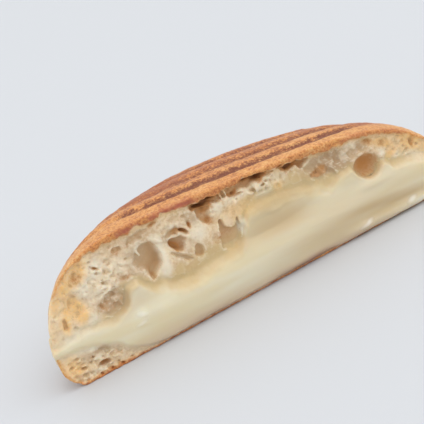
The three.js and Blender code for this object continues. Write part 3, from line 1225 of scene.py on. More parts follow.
    relief: tuple[Patch, ...] = patches(
        (-52.6, 20.4, 5.4, 4.2, 1.4), (-63.8, 25.2, 3.4, 4.4, 0.9, 14), (-60.2, 20.6, 3, 3, -0.7),
        (-57, 23.2, 1.2, 1.2, -0.6), (-55.4, 36.2, 1.8, 2.2, -0.4),
        (-32, 23.6, 1.8, 5, -0.75, -8), (-21.4, 28.6, 2.4, 2.2, -0.75), (-17, 25.4, 3, 4, -0.45),
        (-4.6, 30, 7, 2.2, 0.25), (31, 29.8, 9, 3.8, 1.2, -8), (37.6, 28.4, 1.8, 1.9, -0.9),
        (44, 29, 4.4, 2.4, 0.7), (51.2, 25, 1.8, 2, -0.5), (65.4, 20.2, 1.2, 1.4, -0.6),
    )
    folds: Patch = Patch(34.0, 28.6, 12.0, 4.6, 1.6, turn=-6)
    fringe: Patch = Patch(1.0, 33.0, 17.0, 2.6, 0.9, turn=-1)
    gold: tuple[Patch, ...] = patches(
        (-64, 24.6, 2.8, 5.4, 1, 10), (-68.4, 20.9, 1.9, 3, 1.1), (-66.8, 23.8, 1.2, 1.8, 0.6),
        (-69.6, 27, 2.6, 3, 0.7), (-66.2, 31.8, 4.2, 2.8, 0.8, 42), (-61, 33.2, 4, 2.6, 1.2, 10),
        (-58.6, 36.2, 4.2, 2.2, 0.9, 14), (-4, 28.8, 7, 3.2, 0.55), (-62.4, 22.4, 2, 3.4, 0.7),
        (11.4, 30.2, 1.8, 1.6, 0.8), (47.6, 29.6, 3.2, 1.5, 0.7, -30), (52.6, 27, 3.4, 2, 1, -30),
        (56, 23.6, 3.4, 2.4, 0.5, -30), (54.4, 21.6, 2.4, 1.2, 0.6), (61, 26, 6.4, 2.2, 0.9, -38),
        (60.6, 22.4, 2, 2.6, 0.6), (64.4, 22.4, 3, 3.4, 1), (70, 17, 6, 3, 0.6, -38),
    )
    pale: tuple[Patch, ...] = patches(
        (-57, 29, 13, 9, 0.35), (-69, 23, 5, 9, 0.3), (-68, 15, 9, 3.4, 0.5),
        (-61, 35.4, 3.4, 1.6, 0.5, 30), (-54, 25, 4, 2.4, 0.5), (-54.4, 33.4, 3.6, 3.6, 0.7),
        (-26.4, 34.3, 2.6, 0.9, 0.6), (40.6, 30.6, 2.4, 1.5, 0.6), (64, 17.4, 6, 1.8, 0.4, -20),
        (-60.2, 18.8, 2.8, 1.8, 0.9), (-60, 28.8, 2.6, 2.6, 0.7), (-57.4, 31.2, 3, 1.6, 0.7),
        (-55.8, 36.2, 1.5, 2.8, 0.8), (-46.6, 30.4, 2.6, 3, 0.5), (-39.6, 33, 0.9, 2.6, 0.7, -20),
        (-32.6, 27, 1.5, 6, 1, -4), (-33.4, 22, 2.6, 2.4, 0.8), (-33, 33.4, 2.2, 1.2, 0.6, -30),
        (-19.4, 28.4, 3.2, 3.2, 0.9), (-24.6, 26.6, 1.4, 2.6, 0.5, 30),
        (-10.8, 32.6, 1.8, 2.2, 0.9), (-8.4, 27.6, 1.2, 2.2, 0.7, 24),
        (-4.2, 23.2, 1.5, 3.2, 1.2), (6, 30.4, 4, 1.2, 0.4), (-3, 33, 6, 1.2, 0.7),
        (6, 33.4, 4.6, 1.4, 0.6), (12.4, 32.4, 3, 1.8, 0.5), (37.6, 28.6, 2, 1.8, 0.6),
        (51.4, 23.4, 1.7, 2.2, 0.9), (56.2, 20.8, 1.8, 1.2, 0.7), (65.6, 20.6, 1, 1.2, 0.8),
    )
    # Toasted crumb, and painted shade in the dark slits under the crust and in the tails and walls
    # of cells.
    browning_and_shade: tuple[Patch, ...] = patches(
        (-59.8, 33, 2.6, 1.2, 0.35, -6), (-53.8, 33.2, 1.4, 0.7, 0.6, -34),
        (-56.2, 21.4, 2, 2.6, 0.3), (-52.4, 19.6, 4.6, 3.2, 0.32), (-45.8, 34.8, 2.6, 1.6, 0.45),
        (-46, 26, 2.2, 1, 0.3), (-38, 36.4, 3.4, 1.1, 0.4), (-32.5, 37.8, 2.2, 0.9, 0.7, 12),
        (-15.7, 35.8, 3.4, 1, 1.5, -10), (-12, 36.9, 3, 1, 0.9, -8),
        (-16, 32.6, 2.2, 3.4, 0.42, 16), (-14, 34.2, 2.2, 1.2, 0.55), (-26, 36.4, 3.2, 1, 0.3),
        (-61.6, 32.2, 2.4, 1.4, 0.4), (-34.8, 25, 1.4, 1.8, 0.22, -16),
        (-37.4, 21.6, 1.1, 1.4, 0.4, -20), (-26.2, 32, 2.2, 0.9, 0.65),
        (-14, 29.8, 1.9, 1.6, 0.5), (-14, 23, 2, 2.4, 0.4), (-46, 26, 2, 1.4, 0.25),
        (-27.8, 27.2, 1.1, 2.6, 0.45, 34), (-26.2, 26.8, 2.8, 2.2, 0.4),
        (-23.6, 31.1, 2, 0.9, 0.6, -42), (-21.2, 31.8, 0.8, 1.2, 0.7),
        (-20.8, 22.4, 1.8, 2.4, 0.35), (-9.4, 23.6, 3.6, 3.4, 0.35), (-3.6, 34.2, 2.6, 1, 0.55),
        (1.4, 37, 1.8, 0.8, 0.7), (6, 36.3, 2.4, 1.4, 1.7), (6, 34.2, 2.2, 0.8, 0.4),
        (13.8, 36.1, 1.6, 0.8, 0.9), (17, 34, 3.4, 1.3, 0.7), (25.4, 27.4, 2.2, 1.2, 0.8, -20),
        (28, 28, 2.8, 2, 0.75), (52.4, 26.2, 2.2, 1.4, 0.3, -28), (45, 22.4, 5.8, 4.8, 0.6),
        (44.4, 18.8, 3.4, 1, 0.2), (52.4, 27, 2.2, 1.2, 0.3, -28),
        (47.2, 29.6, 2.2, 1.4, 0.6, -30), (63.8, 21.2, 1.4, 1.8, 0.4),
    )
    # Painted shade in hollows, recesses and folds of the crumb.
    painted_shade_patches: tuple[Patch, ...] = patches(
        (-39, 29.4, 5.4, 6, 0.8), (-37.4, 36.8, 4.6, 1.8, 0.5), (-27.6, 31.2, 4.4, 3.4, 0.7),
        (-26.6, 23.6, 4, 1.8, 0.5, -40), (-52.4, 20.4, 5.6, 4.2, 0.9),
        (-59, 26, 2.4, 1.4, 0.6, 16), (-47, 26.2, 2.4, 1.2, 0.7), (-19.4, 34.4, 3.2, 3, 0.7),
        (30, 30, 9, 4.2, 1, -8), (36, 27.2, 6, 3, 0.7, -8), (44.6, 29.2, 3.6, 2.6, 0.6),
    )
    toasted_edge: float = 1.8
    mark_shift: float = 0.8
    mark_front: tuple[float, float] = (-1.9, -0.5)
    mark_back: tuple[float, float] = (0.3, 3.1)
    mark_rag: Noise = Noise(57, 2.4, 2, 0.5)
    mark_gaps: Noise = Noise(52, 10, 3, pace=(0.45, 1.0, 1.0))
    mark_specks: Noise = Noise(53, 1.6, 2, 0.6)
    mark_threshold: tuple[float, float] = (-1.2, 0.3)
    rear_marks: float = 0.75
    first_mark: float = 0.5
    rust_height: float = 1.0
    rust_width: float = 1.1
    rust_gaps: Noise = Noise(58, 7, 3)
    rust_specks: Noise = Noise(59, 1.3, 2, 0.5)
    toast_drift: Noise = Noise(55, 14, 3, 0.12)
    side_drift: Noise = Noise(56, 12, 2, 2.5)
    left_paleness: float = 0.25
    stain_rag: Noise = Noise(51, 1.6, 2, 0.35)
    # Places on the crust, with the distance behind the cut for the height
    baked: tuple[Patch, ...] = patches(
        (56, 15, 8, 8, 0.35), (-22, 24, 12, 7, 0.4), (30, 12.2, 12, 2.2, -0.12),
        (-64, 0, 8, 4, -0.2),
    )
    unmarked: tuple[Patch, ...] = patches(
        (-31, 8.5, 3, 5, 0.75), (10.5, 8.5, 3.4, 5, 0.6), (34, 8.5, 4, 5, 0.35),
    )

    def crust_line(self, x: Array, z: Array) -> Array:
        """Height at which the crumb on the cut ends in crust."""
        ragged = self.crust_tears.at(x, z) + self.crust_crumbs.at(x, z)
        return eased_curve(CRUST_LINE, x) + ragged

    def recessed(self, x: Array, z: Array) -> Array:
        """Where crust and crumb have parted: 0 on the crumb to 1 in the gap above it."""
        floor = eased_curve(RECESS_FLOOR, x) + self.recess_rag.at(x, z)
        inside = smooth(-0.2, 0.8, z - floor) * (1 - smooth(-0.6, 0.1, z - self.crust_line(x, z)))
        return inside * (eased_curve(RECESS_DEPTH, x) > 0)

    def face(self, x: Array, z: Array) -> Array:
        """How far the crown stands behind the cut.

        Args:
            x: Place along the cut.
            z: Height.

        Returns:
            The depth in millimetres.
        """
        torn = self.torn_depth + self.torn_broad.at(x, z) + self.torn_fine.at(x, z)
        rucks = self.folds.at(x, z) * self.folding.at(x + self.fold_slant * z, z)
        flakes = self.fringe.at(x, z) * (self.flaking.at(x, z) - self.flake_sink)
        lip = -self.lip + self.lip_rag.at(x, z)
        crumb = torn + rucks + flakes + patched(self.relief, x, z)
        return mix(crumb, lip, smooth(-0.25, 0.5, z - self.crust_line(x, z)))

    def hollowed(self, x: Array, z: Array) -> Array:
        """How deep the large cells are, and the gap under the crust.

        Args:
            x: Place along the cut.
            z: Height.

        Returns:
            The depth behind the crumb's face, in millimetres.
        """
        ragged = self.hollow_rag.at(x, z)
        depth = eased_curve(RECESS_DEPTH, x) * self.recessed(x, z)
        for hollow in self.hollows:
            depth = np.maximum(depth, hollow.depth(x, z, ragged))
        return depth * (1 - smooth(-0.4, 0.2, z - self.crust_line(x, z)))

    def crust(self, x: Array, y: Array) -> Array:
        """Height of the crust with its press marks.

        Args:
            x: Place along the cut.
            y: Place behind it.

        Returns:
            The height in millimetres.
        """
        y = np.maximum(y, 0) + 0 * x
        force = self.press_force + self.press_drift.at(x, y)
        press = ROLL.groove(x, self.along_ribs(x, y)) * force
        puffed = self.puffs.at(x, y) + self.blisters.at(x, y)
        return ROLL.crown_top(x, y) - ROLL.groove_depth * press + puffed

    def along_ribs(self, x: Array, y: Array) -> Array:
        """Distance behind the cut as the ribs count it: they bend and wander a little."""
        return y - eased_curve(MARK_BEND, x) + self.rib_wander.at(x, y)

    def scorched(self, x: Array, y: Array) -> Array:
        """How darkly the ribs have marked the crust: sharp in front and fading behind.

        Args:
            x: Place along the cut.
            y: Place behind it.

        Returns:
            0 to 1.
        """
        strength = np.zeros(x.shape)
        behind = self.along_ribs(x, y) + self.mark_rag.at(x, y)
        for i in range(ROLL.rib_count):
            off = behind - ROLL.rib_first - i * ROLL.rib_pitch - self.mark_shift
            mark = smooth(*self.mark_front, off) * (1 - smooth(*self.mark_back, off))
            strength = np.maximum(strength, mark)
        patchy = self.mark_gaps.at(x, y) + self.mark_specks.at(x, y)
        patchy = patchy + self.first_mark * (1 - smooth(10, 14, y)) - patched(self.unmarked, x, y)
        ends = (1 - smooth(0.58, 0.8, ROLL.outward(x, y))) * smooth(0, 9, x + 60 - 1.6 * y)
        fading = mix(1.0, self.rear_marks, smooth(8, 22, y))
        return strength * smooth(*self.mark_threshold, patchy) * ends * fading

    def rusted(self, x: Array, y: Array, z: Array) -> Array:
        """How reddish the lip of the crust is, in a broken line above the crumb.

        Args:
            x: Place along the cut.
            y: Place behind it.
            z: Height.

        Returns:
            0 to 1.
        """
        border = z - eased_curve(CRUST_LINE, x)
        broken = self.rust_gaps.at(x, 0 * x) + self.rust_specks.at(x, z)
        line = np.exp(-(((border - self.rust_height) / self.rust_width) ** 2))
        return line * (1 - smooth(0.6, 1.8, y)) * smooth(-0.7, 0.4, broken) * eased_curve(RUST, x)

    def toasted(self, x: Array, y: Array, z: Array) -> Array:
        """How far the crust is baked: least low on the side, most at the back of the top.

        Args:
            x: Place along the cut.
            y: Place behind it.
            z: Height.

        Returns:
            0 to 1, or a little past either.
        """
        side = smooth(14.0, 31.0, z + self.side_drift.at(x, y))
        toast = mix(0.18, 0.43 + 0.37 * smooth(2, 27, y), side) + self.toast_drift.at(x, y)
        left = self.left_paleness * (1 - smooth(-70, -50, x))
        return toast - left + patched(self.baked, x, y)

    def holds(self, pocket: Pocket) -> bool:
        """Tells whether a fine cell lies below the crust."""
        crust = eased_curve(CRUST_LINE, np.array([pocket.x]))[0]
        return bool(pocket.z + pocket.up < crust - self.crust_margin)

    def roughen(self, block: Block) -> None:
        """Tears the finest cells into the face, where the crumb is fine.

        Args:
            block: The field.
        """
        near = int(np.searchsorted(block.axes[1], self.grain_reach))
        x, y, z = block.part((slice(None), slice(0, near), slice(None)))
        strength = self.grain_depth * patched(self.fineness, x, z)
        strength = strength * (1 - smooth(-0.9, 0.0, z - self.crust_line(x, z)))
        grain = self.grain.at(x, y, z) + self.grain_lift
        block.values[:, :near, :] += strength * np.maximum(grain, self.grain_floor)

    def build(self, cut: Cut) -> bpy.types.Object:
        """Makes the crown.

        Args:
            cut: The face that it shares with the cheese.

        Returns:
            The object, with masks for its finish.
        """
        block = Block(self.spans)
        x, y = block.plan()
        top = self.crust(x, y)
        under = ROLL.crown_face(x, y, eased_curve(CHEESE_TOP, x) - eased_curve(OVERLAP, x))
        z = block.heights()
        skin = (z - top[:, :, None]) / block.stretch(top)[:, :, None]
        rim = (ROLL.outward(x, y) - 1) * ROLL.depth
        shell = soft_max(skin, under[:, :, None] - z, self.rim_round)
        shell = soft_max(shell, rim[:, :, None] + 0 * shell, self.rim_round)
        fx, fz = block.front()
        front = cut.crumb_front(fx, fz)[:, None, :]
        block.values = soft_max(shell, front - block.depths(), self.edge_round)
        self.roughen(block)
        self.open_cells(block)
        for strand in self.strands:
            block.add_strand(strand, self.wobble, self.strand_root)
        cut.breads[self.solid] = block.face_depth(cut.reach)
        return self.stand_in(block, cut)

    def stains(self, x: Array, z: Array, cut: Cut) -> dict[str, Array]:
        """Works out how the crumb on the cut is coloured.

        Args:
            x: Places along the cut.
            z: Heights.
            cut: The face, whose cheese soaks the crumb next to it.

        Returns:
            Masks by name.
        """
        ragged = self.stain_rag.at(x, z)
        below = eased_curve(CRUST_LINE, x) - z
        by_crust = smooth(-self.toasted_edge, 0.2, 1.5 * ragged - below)
        by_end = 1 - smooth(-73.0, -63.0, x + 0.3 * (30 - z) + 3 * ragged)
        gap = self.recessed(x, z) * smooth(0, 1, eased_curve(RECESS_DEPTH, x))
        above = self.soak_rag.at(x, z) - cut.from_head.at(x, z)
        soaked = 1 - smooth(0.0, 1.0, above / eased_curve(SOAK_REACH, x))
        masks = {"soak": soaked * eased_curve(SOAKING, x), **self.colours(x, z)}
        # Painted shade: the gap where crust and crumb have parted is browned darker.
        masks["brown"] = masks["brown"] + 0.45 * gap
        masks["gold"] = np.maximum(masks["gold"], np.maximum(0.45 * by_end, 0.5 * by_crust))
        return masks

    def masks(self, block: Block, spots: Array, cut: Cut) -> dict[str, Array]:
        """Works out where each look shows.

        Args:
            block: The field.
            spots: The surface's points in lattice steps.
            cut: The face that it shares with the cheese.

        Returns:
            Masks by name, 0 to 1.
        """
        x, y, z = block.place(spots).T
        inward = np.maximum(y, 0.01)
        skin = self.crust(x, inward) - z
        rim = (1 - ROLL.outward(x, inward)) * ROLL.depth
        ragged = self.stain_rag.at(x, z + y)
        outside = 1 - smooth(1.0, 2.2, np.minimum(skin, rim * 1.2) + ragged)
        on_cut = 1 - smooth(2.5, 4.0, y)
        in_crust = smooth(-0.4, 0.5, z - self.crust_line(x, z) + 1.6 * ragged)
        tight = block.enclosure(spots, 2)
        # Painted shade: points deep in open cells or closely enclosed by crumb get a darker cell
        # colour.
        enclosed_shade = 0.7 * smooth(0.52, 0.72, tight) * (1 - smooth(7, 11, y))
        near = 1 - smooth(4, 9, y)
        return {
            "crust": mix(outside, in_crust, on_cut),
            "char": self.scorched(x, y),
            "rust": self.rusted(x, y, z),
            "toast": self.toasted(x, y, z),
            "cavity_shade": np.maximum(cut.sunk(x, y, z), enclosed_shade),
            # Painted light: crests of the crumb, where little surrounds a point, are lightened.
            "crest_light": 1 - smooth(0.3, 0.48, tight),
            **{name: values * near for name, values in self.stains(x, z, cut).items()},
        }


@dataclass
class MeltedCheese(Piece):
    """The cheese: a layer through the roll, and what has flowed down over the cut."""

    solid: Solid = Solid.CHEESE
    name: str = "melted_cheese"
    spans: tuple[Span, Span, Span] = (
        Span(-78.5, 80.5, 0.44),
        Span(-5.0, 59.5, 0.37, until=4.5, wide=1.3),
        Span(-1.0, 34.0, 0.42),
    )
    swell: float = 0.9
    least_swell: float = 0.3
    uneven: Noise = Noise(61, 14, 2, 0.25, pace=(0.5, 1.4, 1.0))
    streaks: Noise = Noise(62, 2.2, 2, 0.12, pace=(0.16, 1.0, 1.0))
    streak_fall: float = 0.1
    oozing: Noise = Noise(65, 9, 2, 0.8)
    drift: Noise = Noise(66, 9, 2, 1.2, pace=(0.4, 1.0, 1.0))
    clouding: Noise = Noise(67, 3, 2, 0.25)
    rim_round: float = 1.4
    curtain_blend: float = 0.6
    film: float = 2.0
    back_of_film: float = 0.5
    hidden: float = 2.4
    least_height: float = 0.15
    end_round: float = 0.8
    rolls: tuple[tuple[float, float, float, float, float, float], ...] = (
        (11.0, 0, 6.4, 1.7, -60, 80),
        (13.0, 0.14, 2.4, -0.35, 34, 68),
        (3.4, 0, 2.0, 1.0, 30, 70),
    )
    roll_end: float = 6.0
    soak_depth: float = 1.3
    head_tan: float = 0.5
    relief: tuple[Patch, ...] = patches(
        (-30.8, 18.4, 3.8, 2.4, -0.9), (-26, 18.8, 3.8, 3, -1.1), (7, 20.4, 15, 3.4, -1.1),
        (-3, 18.8, 5, 1.8, -0.3), (7.5, 23.4, 2.6, 1, 0.35), (45, 16.4, 6.4, 1.5, 0.5),
        (36, 22.4, 3, 2.8, 0.3), (-45.5, 22.6, 2.6, 2.2, 0.5), (-35.6, 18.6, 1.8, 1.2, 0.35),
        (-21.5, 16.6, 2.4, 1, 0.3), (-4, 22.6, 0.9, 2.6, 0.5), (-45.8, 13.8, 1.4, 1.6, 0.4, 25),
        (-47, 11, 1.6, 1, 0.3), (36.6, 4, 2.2, 1.1, 0.35, -20), (56.3, 3.4, 1.8, 1.2, 0.35),
    )
    # Tan of cheese next to soaked crumb, and painted shade in the recesses and the lower fold of
    # the cheese.
    tan_and_recess_shade: tuple[Patch, ...] = patches(
        (6, 19.6, 15, 4, 0.75), (10, 28.4, 15, 4.4, 0.95), (-27, 18.2, 8.5, 3, 0.9),
        (-53, 17.4, 7, 2.4, 0.5), (-42, 18.6, 5, 3.2, 0.35), (30, 24, 4, 2, 0.5),
        (36, 13, 36, 9, 0.35), (24, 8, 24, 4, 0.35), (49, 8.4, 17, 1.8, 0.35, -5),
        (54, 5.6, 16, 1.8, 0.5), (-13, 18, 7, 2.6, 0.6),
    )
    rusty: tuple[Patch, ...] = patches(
        (12, 0, 11, 11, 1), (-22, 0, 9, 9, 0.25),
    )
    # Wet spots: lower roughness, and a painted glint that whitens the colour.
    wet_and_painted_glint: tuple[Patch, ...] = patches(
        (-46, 13.8, 1.8, 0.9, 0.35, -20), (-47.2, 11, 2, 0.6, 0.3, 10),
        (36.8, 3.8, 2.6, 0.7, 0.5, 8), (38.6, 4.8, 1.4, 0.5, 0.35, 8),
        (56.4, 4.2, 2, 0.8, 0.5, 14), (62, 2.8, 8, 0.9, 0.35, 4),
    )

    def front(self, x: Array, z: Array) -> Array:
        """How far the cheese swells in front of the cut.

        Args:
            x: Place along the cut.
            z: Height.

        Returns:
            The swell in millimetres, without the rounding at its edges.
        """
        total = self.swell + self.uneven.at(x, z) + patched(self.relief, x, z)
        for height, fall, spread, rise, start, end in self.rolls:
            ends = smooth(start - self.roll_end, start + self.roll_end, x)
            ends = ends * (1 - smooth(end - self.roll_end, end + self.roll_end, x))
            total = total + rise * ends * np.exp(-(((z - height + fall * x) / spread) ** 2))
        streaks = self.streaks.at(x, z + self.streak_fall * x)
        return np.maximum(total + streaks, self.least_swell) * eased_curve(SWELLING, x)

    def build(self, cut: Cut) -> bpy.types.Object:
        """Makes the cheese.

        Args:
            cut: The face that it shares with the crumb.

        Returns:
            The object, with masks for its finish.
        """
        block = Block(self.spans)
        x, y = block.plan()
        z = block.heights()
        at_cut = eased_curve(CHEESE_TOP, x) - eased_curve(OVERLAP, x) - ROLL.gap / 2
        ceiling = ROLL.crown_face(x, y, at_cut) - ROLL.gap / 2
        floor = ROLL.heel_face(x) + ROLL.gap / 2 + 0 * y
        back = smooth(5.0, 18.0, y)
        ooze = 0.5 + back * (0.4 + self.oozing.at(x, y + 0 * x))
        rim = (ROLL.outward(x, y) - 1) * ROLL.depth - ooze
        layer = np.maximum(z - ceiling[:, :, None], floor[:, :, None] - z)
        layer = np.maximum(layer, -block.depths())
        layer = soft_max(layer, rim[:, :, None] + 0 * layer, self.rim_round)
        block.values = -soft_max(-layer, -self.curtain(block, cut), self.curtain_blend)
        block.soften(1)
        return self.stand_in(block, cut)

    def curtain(self, block: Block, cut: Cut) -> Array:
        """The field of what has flowed down over the cut.

        Args:
            block: The lattice.
            cut: The face that it lies on.

        Returns:
            The field.
        """
        x, z = block.front()
        front = cut.cheese_front(x, z)
        behind = np.maximum(front + self.film, self.back_of_film)
        y = block.depths()
        out = np.maximum(front[:, None, :] - y, y - behind[:, None, :])
        down, up = cut.borders(x, z)
        head_edge = -down * eased_curve(FILM_FADE, x) - self.hidden
        foot_fade = eased_curve(FOOT_FADE, x)
        foot_edge = -up * foot_fade - np.minimum(self.hidden, foot_fade)
        edge = np.maximum(np.maximum(head_edge, foot_edge), self.least_height - z)
        tip = np.abs(x) - ROLL.half_length * ROLL.heel_scale(z)
        in_outline = z - ROLL.crown_top(x, 0 * x) + self.end_round
        edge = np.maximum(edge, np.maximum(tip, in_outline))
        return soft_max(out, edge[:, None, :] + 0 * out, self.end_round)

    def masks(self, block: Block, spots: Array, cut: Cut) -> dict[str, Array]:
        """Works out where each look shows.

        Args:
            block: The field.
            spots: The surface's points in lattice steps.
            cut: The face that it shares with the crumb.

        Returns:
            Masks by name, 0 to 1.
        """
        x, y, z = block.place(spots).T
        drift = self.drift.at(x, z)
        on_cut = 1 - smooth(4.0, 8.0, y)
        down, up = cut.borders(x, z)
        cloud = self.clouding.at(x, z)
        heel_shows = smooth(0.9, 1.8, eased_curve(FOOT_FADE, x))
        at_foot = (1 - smooth(0.0, 0.9, up + cloud)) * heel_shows
        at_head = 1 - smooth(0.0, self.soak_depth, down + cloud)
        crown, heel = cut.crown.stains(x, z, cut), cut.heel.stains(x, z)
        in_crown = cut.in_crown(x, z)
        near_head = self.head_tan * (1 - smooth(0.5, 4.5, cut.from_head.at(x, z) + drift))
        near_head = near_head * smooth(-60, -50, x)
        tan_and_recess_shade = np.maximum(patched(self.tan_and_recess_shade, x, z + 0.5 * drift), near_head)
        return {
            # Painted shade: the cheese darkens towards its foot, where it curves under.
            "lower": (1 - smooth(1.0, 8.0, z + drift)) * (1 - 0.8 * smooth(34, 56, x)) * on_cut,
            "edge": np.maximum(at_head, at_foot) * on_cut,
            "tan_and_recess_shade": tan_and_recess_shade * on_cut,
            "wet_and_painted_glint": patched(self.wet_and_painted_glint, x, z) * on_cut,
            "rusty": (1 - smooth(1.0, 4.5, z + drift)) * patched(self.rusty, x, 0 * z) * on_cut,
            **{name: mix(heel[name], crown[name], in_crown) for name in heel},
        }


@dataclass
class BottomBread(Bread):
    """The heel: pressed crumb in a thin crust."""

    solid: Solid = Solid.BOTTOM_BREAD
    name: str = "heel_of_the_roll"
    wobble: Noise = Noise(72, 2.4, 2)
    thinned: Noise = Noise(73, 6.0, 2)
    cell_lip: float = 0.35
    fine_lip: float = 0.25
    edge_round: float = 1.0
    lowest_cell: float = 0.8
    torn_depth: float = 0.42
    torn: Noise = Noise(71, 5, 3, 0.3)
    crust_depth: float = 0.1
    crust_crumbs: Noise = Noise(78, 1.4, 2, 0.25)
    crust_rag: Noise = Noise(77, 1.6, 2, 0.4)
    soak_rag: Noise = Noise(76, 3, 2, 1.4)
    stain_rag: Noise = Noise(74, 1.4, 2, 0.4)
    toast_drift: Noise = Noise(75, 8, 2)
    spans: tuple[Span, Span, Span] = (
        Span(-77.5, 79.5, 0.4),
        Span(-1.0, 58.5, 0.36, until=8.0, wide=1.2),
        Span(-1.2, 14.5, 0.36),
    )
    pockets: tuple[Pocket, ...] = (
        Pocket(-61.6, 3.6, 2.1, 1.15, 3, turn=-8, y=0.4),
        Pocket(-68.3, 5.3, 1.1, 0.55, 1.6, turn=6, y=0.4),
        Pocket(-60.4, 8.3, 1.9, 1, 1, turn=-12, y=0.4),
        Pocket(-64.5, 7.3, 0.7, 0.55, 1.4, y=0.4),
        Pocket(-65.6, 5.9, 0.5, 0.5, 1.2, y=0.4),
        Pocket(-59.6, 2, 0.5, 0.45, 1.8, y=0.3),
        Pocket(-57.4, 1.7, 0.5, 0.5, 1.8, y=0.3),
        Pocket(-63.8, 0.9, 0.55, 0.45, 1.6, y=0.2),
        Pocket(-60, 0.75, 0.7, 0.45, 1.6, y=0.2),
        Pocket(-56.5, 0.7, 0.5, 0.4, 1.6, y=0.2),
        Pocket(-53, 1.3, 0.6, 0.4, 1.6, y=0.2),
    )
    fine_cells: tuple[FineCells, ...] = (
        FineCells((-72, 1.2), (-50, 9.5), 420, 0.4, 0.9, 1.2, seed=16),
        FineCells((60, 1.2), (74, 9), 200, 0.4, 0.9, 1.2, seed=17),
    )
    browning_and_shade: tuple[Patch, ...] = patches(
        (-61.6, 3.6, 2.8, 1.6, 0.5, -8), (-68.3, 5.3, 1.8, 1, 0.3), (-60, 0.6, 10, 0.8, 0.8),
    )
    gold: tuple[Patch, ...] = patches(
        (-71.6, 7.6, 2.8, 4.6, 0.7), (-69, 5.6, 2.4, 1.6, 0.5), (-60, 0.4, 12, 1.1, 0.5),
    )
    pale: tuple[Patch, ...] = patches(
        (-54, 8, 4, 3, 0.5), (-66, 11.2, 9, 1.7, 0.6), (-62.6, 2.2, 3, 1.1, 1.1),
        (-63, 6.4, 1.6, 1.2, 0.6), (-64, 9.8, 1.2, 0.8, 0.6),
    )
    # Painted shade in the heel's hollows.
    painted_shade_patches: tuple[Patch, ...] = patches(
        (-61, 8.4, 3, 1.4, 0.8, -12), (-66, 8, 3, 2.4, 0.6),
    )
    crust_edge: float = 0.9

    def face(self, x: Array, z: Array) -> Array:
        """How far the heel stands behind the cut.

        Args:
            x: Place along the cut.
            z: Height.

        Returns:
            The depth in millimetres.
        """
        crumb = self.torn_depth + self.torn.at(x, z)
        skin, height = self.crust_edge, z + self.crust_rag.at(x, z)
        at_crust = 1 - smooth(skin - 0.4, skin + 0.6, height)
        return mix(crumb, self.crust_depth + self.crust_crumbs.at(x, z), at_crust)

    def holds(self, pocket: Pocket) -> bool:
        """Tells whether a fine cell lies above the crust."""
        return pocket.z - pocket.up > self.lowest_cell

    def build(self, cut: Cut) -> bpy.types.Object:
        """Makes the heel.

        Args:
            cut: The face that it shares with the cheese.

        Returns:
            The object, with masks for its finish.
        """
        block = Block(self.spans)
        x, y = block.plan()
        z = block.heights()
        sliced = ROLL.heel_face(x) - ROLL.gap / 2 + 0 * y
        slab = np.maximum(z - sliced[:, :, None], -z + 0 * sliced[:, :, None])
        scale = ROLL.heel_scale(z)
        side = (ROLL.outward(x, y)[:, :, None] / scale - 1) * ROLL.depth * scale
        fx, fz = block.front()
        front = cut.crumb_front(fx, fz)[:, None, :]
        block.values = np.maximum(soft_max(slab, side, self.edge_round), front - block.depths())
        self.open_cells(block)
        cut.breads[self.solid] = block.face_depth(cut.reach)
        return self.stand_in(block, cut)

    def stains(self, x: Array, z: Array) -> dict[str, Array]:
        """Works out how the crumb on the cut is coloured.

        Args:
            x: Places along the cut.
            z: Heights.

        Returns:
            Masks by name.
        """
        below = ROLL.heel_face(x) - z + self.soak_rag.at(x, z)
        soaked = 1 - smooth(0.0, 3.5, below)
        return {"soak": soaked * eased_curve(SOAKING, x), **self.colours(x, z)}

    def masks(self, block: Block, spots: Array, cut: Cut) -> dict[str, Array]:
        """Works out where each look shows.

        Args:
            block: The field.
            spots: The surface's points in lattice steps.
            cut: The face that it shares with the cheese.

        Returns:
            Masks by name, 0 to 1.
        """
        x, y, z = block.place(spots).T
        inward = np.maximum(y, 0.01)
        side = (ROLL.heel_scale(z) - ROLL.outward(x, inward)) * ROLL.depth
        ragged = self.stain_rag.at(x, y + z)
        skin = self.crust_edge
        crust = 1 - smooth(skin - 0.5, skin + 0.5, np.minimum(side, z) + ragged)
        toast = mix(0.16, 0.7, 1 - smooth(0.3, 3.5, z + self.toast_drift.at(x, y)))
        tight = block.enclosure(spots, 2)
        near = 1 - smooth(4, 9, y)
        return {
            "crust": crust,
            "char": 0.6 * ROLL.groove(x, y) * (1 - smooth(0.3, 1.0, z)),
            "rust": 0 * x,
            "toast": toast,
            # Painted shade: deep and closely enclosed points of the heel's crumb are darkened.
            "cavity_shade": np.maximum(cut.sunk(x, y, z), 0.7 * smooth(0.53, 0.75, tight)),
            # Painted light: crests of the heel's crumb are lightened.
            "crest_light": 1 - smooth(0.3, 0.47, tight),
            **{name: values * near for name, values in self.stains(x, z).items()},
        }


# ---- Finishes ----


